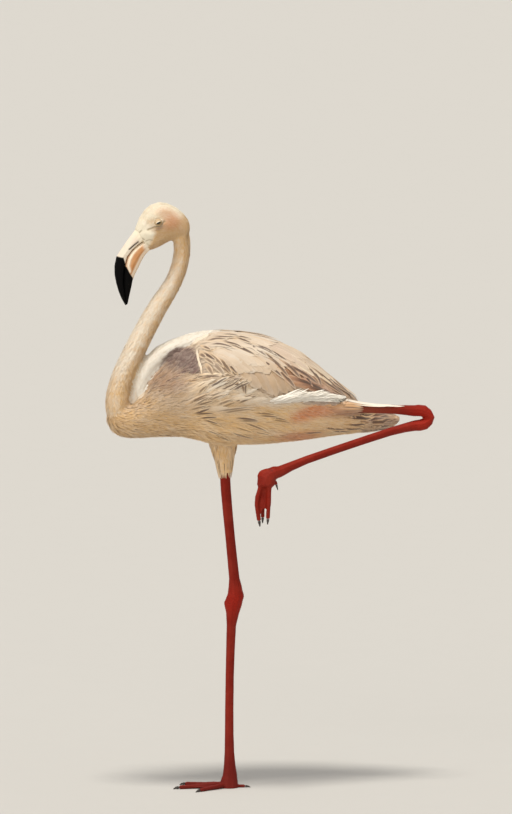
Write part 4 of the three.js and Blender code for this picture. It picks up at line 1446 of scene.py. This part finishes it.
def buildLegSkin(bench):
    place = bench.place()
    ladder, plates, _ = bench.parts(bench.attribute("scute", "Vector"))
    ankle = bench.attribute("ankle", "Fac")
    foot = bench.attribute("foot", "Fac")
    patches = bench.noise(place, 38, 4)
    colour = bench.blend(bench.ramp(patches, 0.35, 0.68), legColours["red"], legColours["mottle"])
    colour = bench.blend(ankle * 0.75, colour, legColours["bright"])
    colour = bench.blend(foot * 0.6, colour, legColours["deep"])
    along, _, height = bench.parts(place)
    raisedTop = (1 - bench.ramp(along, 0.2, 0.29)) * bench.ramp(height, 0.597, 0.604)
    colour = bench.blend(raisedTop * 0.6, colour, legColours["dull"])
    step = (ladder * 2 * math.pi).wave().absolute()
    seam = (1 - bench.ramp(step, 0.0, 0.3)) * plates
    net = (1 - bench.ramp(bench.cracks(place, 430), 0.0, 0.12)) * (1 - plates)
    colour = bench.blend(seam * 0.3 + net * 0.32, colour, legColours["seam"])
    dry = bench.ramp(bench.noise(place, 900, 3), 0.6, 0.8)
    colour = bench.blend(dry * 0.22, colour, legColours["scurf"])
    height = net * -0.6 + dry * 0.15 + bench.noise(place, 300, 3) * 0.3
    roughness = 0.44 + patches * 0.15 + dry * 0.15
    return bench.surface(colour, roughness, (height, 0.6, 0.6), {"Specular IOR Level": 0.1})


legFinish = newMaterial("leg_skin", buildLegSkin)
makeLeg("right")
makeLeg("left")


hornColours = {"dark": (0.022, 0.016, 0.014), "light": (0.09, 0.06, 0.045)}


def buildHorn(bench):
    rings = bench.noise(bench.stretch(bench.place(), (260, 900, 900)), 1, 3)
    colour = bench.blend(bench.ramp(rings, 0.4, 0.75), hornColours["dark"], hornColours["light"])
    return bench.surface(colour, 0.3 + rings * 0.2, (rings, 0.4, 0.2))


claws = remeshed(copyOf("claws", clawNodes), 0.3)
clawShell = Shell(claws.data)
clawShell.smooth(8)
clawShell.write(claws.data)
paint(claws, newMaterial("claw_horn", buildHorn))
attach(claws, "root")
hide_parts(*clawNodes)
print("claws", len(claws.data.polygons))


billShape = {"voxel": 0.62, "fairing": 22, "nostril": 1.3, "rim": 2.6, "keel": 8.4, "base": 9}
# grooves and forms of the bill seen from the side: x, z along each, depth and reach
billGrooves = {
    "nostril": {"line": [(-151.5, 884), (-158, 879), (-165.5, 872.5)], "deep": -1.5, "reach": 1.1},
    "ridge": {
        "line": [(-150, 899), (-166, 877), (-178, 858), (-181, 838), (-178, 812)], "deep": 0.55, "reach": 2.4,
    },
    "lip": {
        "line": [(-139, 884), (-152, 876.5), (-165, 860.5), (-170.5, 842), (-172, 815)],
        "deep": -0.5, "reach": 1.5,
    },
    "rim": {
        "line": [
            (-138.5, 883.5), (-146, 880), (-154, 873.5), (-161, 865.5),
            (-165.5, 856), (-167.5, 846), (-165, 837),
        ],
        "deep": 0.6, "reach": 2.0,
    },
    "hollow": {"line": [(-137, 872), (-147, 861), (-156, 846), (-161, 830)], "deep": -0.8, "reach": 4.0},
}
keelLine = [(-131, 872), (-141, 858), (-149.3, 841.5), (-158, 824)]
baseLine = [(-156, 904), (-144, 886), (-132, 868)]


def tuckBase(mesh):
    # the base runs on into the head, so that no rim shows round it
    for vertex in mesh.vertices:
        x, z = vertex.co.x / mm, vertex.co.z / mm
        beyond = -(x + 144) * 0.85 + (z - 886.5) * -0.53
        if beyond < 2.2 and z > 862:
            vertex.co += Vector((0.83, 0, 0.56)) * 5 * mm
            vertex.co.y *= 0.96


def makeBill(name, lower):
    half = copyOf(name + "_horn", [name])
    tuckBase(half.data)
    half = remeshed(half, billShape["voxel"])
    halfShell = Shell(half.data)
    halfShell.smooth(billShape["fairing"])
    outward = halfShell.normals()
    places = halfShell.places / mm
    sideways = smoothStep(np.abs(outward[:, 1]), 0.25, 0.7)
    for key, groove in billGrooves.items():
        if (key in ("rim", "hollow")) == lower or key == "lip":
            push = groove["deep"] * bell(lineGap(places, groove["line"]), groove["reach"])
            halfShell.places += outward * (push * sideways * mm)[:, None]
    halfShell.write(half.data)
    x, _, z = places.T
    drift = 0.8 * blotches(places, 11, 31)
    if lower:
        black = smoothStep(824 - 1.55 * (x + 158) - z + drift, -1.2, 1.2)
    else:
        edge = np.interp(x, [-188, -175, -172, -169], [861.6, 859.5, 849.5, 846])
        black = smoothStep(edge - z + drift, -1.2, 1.2)
    giveAttribute(half.data, "black", black)
    nostril = bell(lineGap(places, billGrooves["nostril"]["line"]), billShape["nostril"])
    giveAttribute(half.data, "nostril", nostril * (not lower))
    rim = bell(lineGap(places, billGrooves["rim"]["line"]), billShape["rim"])
    keel = smoothStep(billShape["keel"] - lineGap(places, keelLine), 0, 2.6)
    base = smoothStep(billShape["base"] - lineGap(places, baseLine), 0, 8)
    giveAttribute(half.data, "rim", np.maximum(np.maximum(rim, 0.8 * keel), base))
    paint(half, newMaterial(name, buildLowerBill if lower else buildUpperBill))
    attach(half, "root")
    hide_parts(name)
    print(name, len(half.data.polygons))
    return half


billColours = {
    "pale": (0.82, 0.74, 0.61),
    "pink": (0.78, 0.62, 0.50),
    "orange": (0.60, 0.26, 0.085),
    "rim": (0.89, 0.78, 0.62),
    "black": (0.003, 0.0028, 0.0028),
    "fibre": (0.62, 0.45, 0.34),
    "nostril": (0.07, 0.045, 0.035),
    "warm": (0.72, 0.40, 0.18),
}


def finishBill(bench, colour, place):
    black = bench.attribute("black", "Fac")
    fibre = bench.noise(bench.stretch(place, (500, 500, 160)), 1, 4, 0.6)
    colour = bench.blend(fibre * 0.22, colour, billColours["fibre"])
    # painted shade in the nostril's opening
    colour = bench.blend(bench.attribute("nostril", "Fac"), colour, billColours["nostril"])
    colour = bench.blend(black, colour, billColours["black"])
    roughness = 0.5 + black * 0.15 + fibre * 0.1
    return bench.surface(colour, roughness, (fibre, 0.35, 0.4), {"Specular IOR Level": 0.05})


def buildUpperBill(bench):
    place = bench.place()
    blush = bench.ramp(bench.noise(place, 60, 3), 0.4, 0.7)
    colour = bench.blend(blush * 0.5, billColours["pale"], billColours["pink"])
    colour = bench.blend(bench.attribute("rim", "Fac"), colour, plumageColours["skin"])
    return finishBill(bench, colour, place)


def buildLowerBill(bench):
    place = bench.place()
    patches = bench.ramp(bench.noise(place, 50, 3), 0.3, 0.7)
    colour = bench.blend(patches * 0.5, billColours["orange"], billColours["warm"])
    colour = bench.blend(bench.attribute("rim", "Fac"), colour, billColours["rim"])
    return finishBill(bench, colour, place)


makeBill("bill_upper", False)
makeBill("bill_lower", True)


eyeShape = {
    "radius": 6.0, "lidRadius": 6.55, "slit": 4.0, "upper": 0.8, "lower": 2.3, "turn": 26,
    "rim": 6.5, "rings": 12, "sides": 48, "thick": 0.5,
}


eyeColours = {
    "iris": (0.12, 0.09, 0.03), "rays": (0.22, 0.17, 0.06), "pupil": (0.006, 0.006, 0.006),
    "rim": (0.035, 0.028, 0.02),
}
# the upper lid's colour is a painted highlight and the lower one painted shade
lidColours = {
    "front": (0.58, 0.43, 0.25), "rear": (0.50, 0.31, 0.17), "upper": (0.90, 0.80, 0.60),
    "lower": (0.22, 0.15, 0.05), "grain": (0.55, 0.38, 0.25),
}


def buildEye(bench):
    spot = bench.attribute("gaze", "Fac")
    rays = bench.noise(bench.place(), 1500, 2)
    iris = bench.blend(rays, eyeColours["iris"], eyeColours["rays"])
    colour = bench.blend(bench.ramp(spot, 0.62, 0.7), eyeColours["pupil"], iris)
    colour = bench.blend(bench.ramp(spot, 1.02, 1.18), colour, eyeColours["rim"])
    return bench.surface(colour, 0.08, None, {"Coat Weight": 0.6, "Coat Roughness": 0.03})


def buildLid(bench):
    place = bench.place()
    fold = bench.attribute("fold", "Fac")
    grain = bench.noise(place, 700, 3)
    rear = bench.ramp(bench.parts(place)[0], -0.124, -0.115)
    colour = bench.blend(rear, lidColours["front"], lidColours["rear"])
    # painted highlight along the upper lid, painted shade on the lower lid
    colour = bench.blend(bench.ramp(fold, 0.5, 1.0), colour, lidColours["upper"])
    colour = bench.blend(1 - bench.ramp(fold, 0.0, 0.5), colour, lidColours["lower"])
    colour = bench.blend(grain * 0.25, colour, lidColours["grain"])
    return bench.surface(colour, 0.55, (grain, 0.5, 0.3))


eyeFinish = newMaterial("eye_glass", buildEye)
lidFinish = newMaterial("eyelid", buildLid)


def makeEye(side, sign):
    low, high = [Vector(corner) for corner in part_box(f"eye_{side}")]
    centre = (low + high) / 2 / mm
    ball = bmesh.new()
    bmesh.ops.create_uvsphere(ball, u_segments=40, v_segments=24, radius=eyeShape["radius"] * mm)
    for vertex in ball.verts:
        vertex.co += centre * mm
    mesh = bpy.data.meshes.new(f"eyeball_{side}")
    ball.to_mesh(mesh)
    ball.free()
    for face in mesh.polygons:
        face.use_smooth = True
    eyeball = newObject(f"eyeball_{side}", mesh)
    gaze = np.array((-0.22, sign * 0.96, 0.04))
    outward = unit(placesOf(mesh) / mm - np.array(centre))
    giveAttribute(mesh, "gaze", np.arccos(np.clip(outward @ unit(gaze), -1, 1)) * 1.6)
    mesh.materials.append(eyeFinish)
    out = Vector((-0.12, sign, 0.08)).normalized()
    turn = math.radians(eyeShape["turn"])
    along = Vector((math.cos(turn), 0, math.sin(turn)))
    along = (along - out * along.dot(out)).normalized()
    over = out.cross(along).normalized()
    if over.z < 0:
        over = -over
    rings, sides = eyeShape["rings"], eyeShape["sides"]
    places, folds = [], []
    for ring in range(rings + 1):
        share = ring / rings
        for i in range(sides):
            angle = 2 * math.pi * i / sides
            sine, cosine = math.sin(angle), math.cos(angle)
            opening = eyeShape["upper"] if sine > 0 else eyeShape["lower"]
            slit = (eyeShape["slit"] * cosine, opening * sine * abs(sine) ** 0.35)
            rim = (eyeShape["rim"] * cosine, eyeShape["rim"] * sine)
            a, b = [slit[j] * (1 - share) + rim[j] * share for j in range(2)]
            swell = eyeShape["thick"] * bell(share, 0.16)
            swell += 0.34 * bell(share - 0.45, 0.09) - 0.3 * bell(share - 0.3, 0.07)
            radius = eyeShape["lidRadius"] + swell - 0.25 * (ring == 0)
            depth = math.sqrt(max(radius**2 - a * a - b * b, 0.3))
            places.append((centre + along * a + over * b + out * depth) * mm)
            # fold: 1 on the upper lid and 0 on the lower, where the highlight and shade are painted
            near = bell(share, 0.3 if sine > 0 else 0.55)
            folds.append(0.5 + 0.5 * near * max(-1, min(1, 3 * sine)))
    faces = []
    for ring in range(rings):
        for i in range(sides):
            j = (i + 1) % sides
            faces.append([ring * sides + i, ring * sides + j, (ring + 1) * sides + j, (ring + 1) * sides + i])
    if sign > 0:
        faces = [face[::-1] for face in faces]
    mesh = meshOf(f"eyelid_{side}", [tuple(place) for place in places], faces)
    for face in mesh.polygons:
        face.use_smooth = True
    giveAttribute(mesh, "fold", np.clip(folds, 0, 1))
    mesh.materials.append(lidFinish)
    lid = newObject(f"eyelid_{side}", mesh)
    for piece in (eyeball, lid):
        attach(piece, "root")
    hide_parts(f"eye_{side}")


makeEye("left", -1)
makeEye("right", 1)
print("head done")
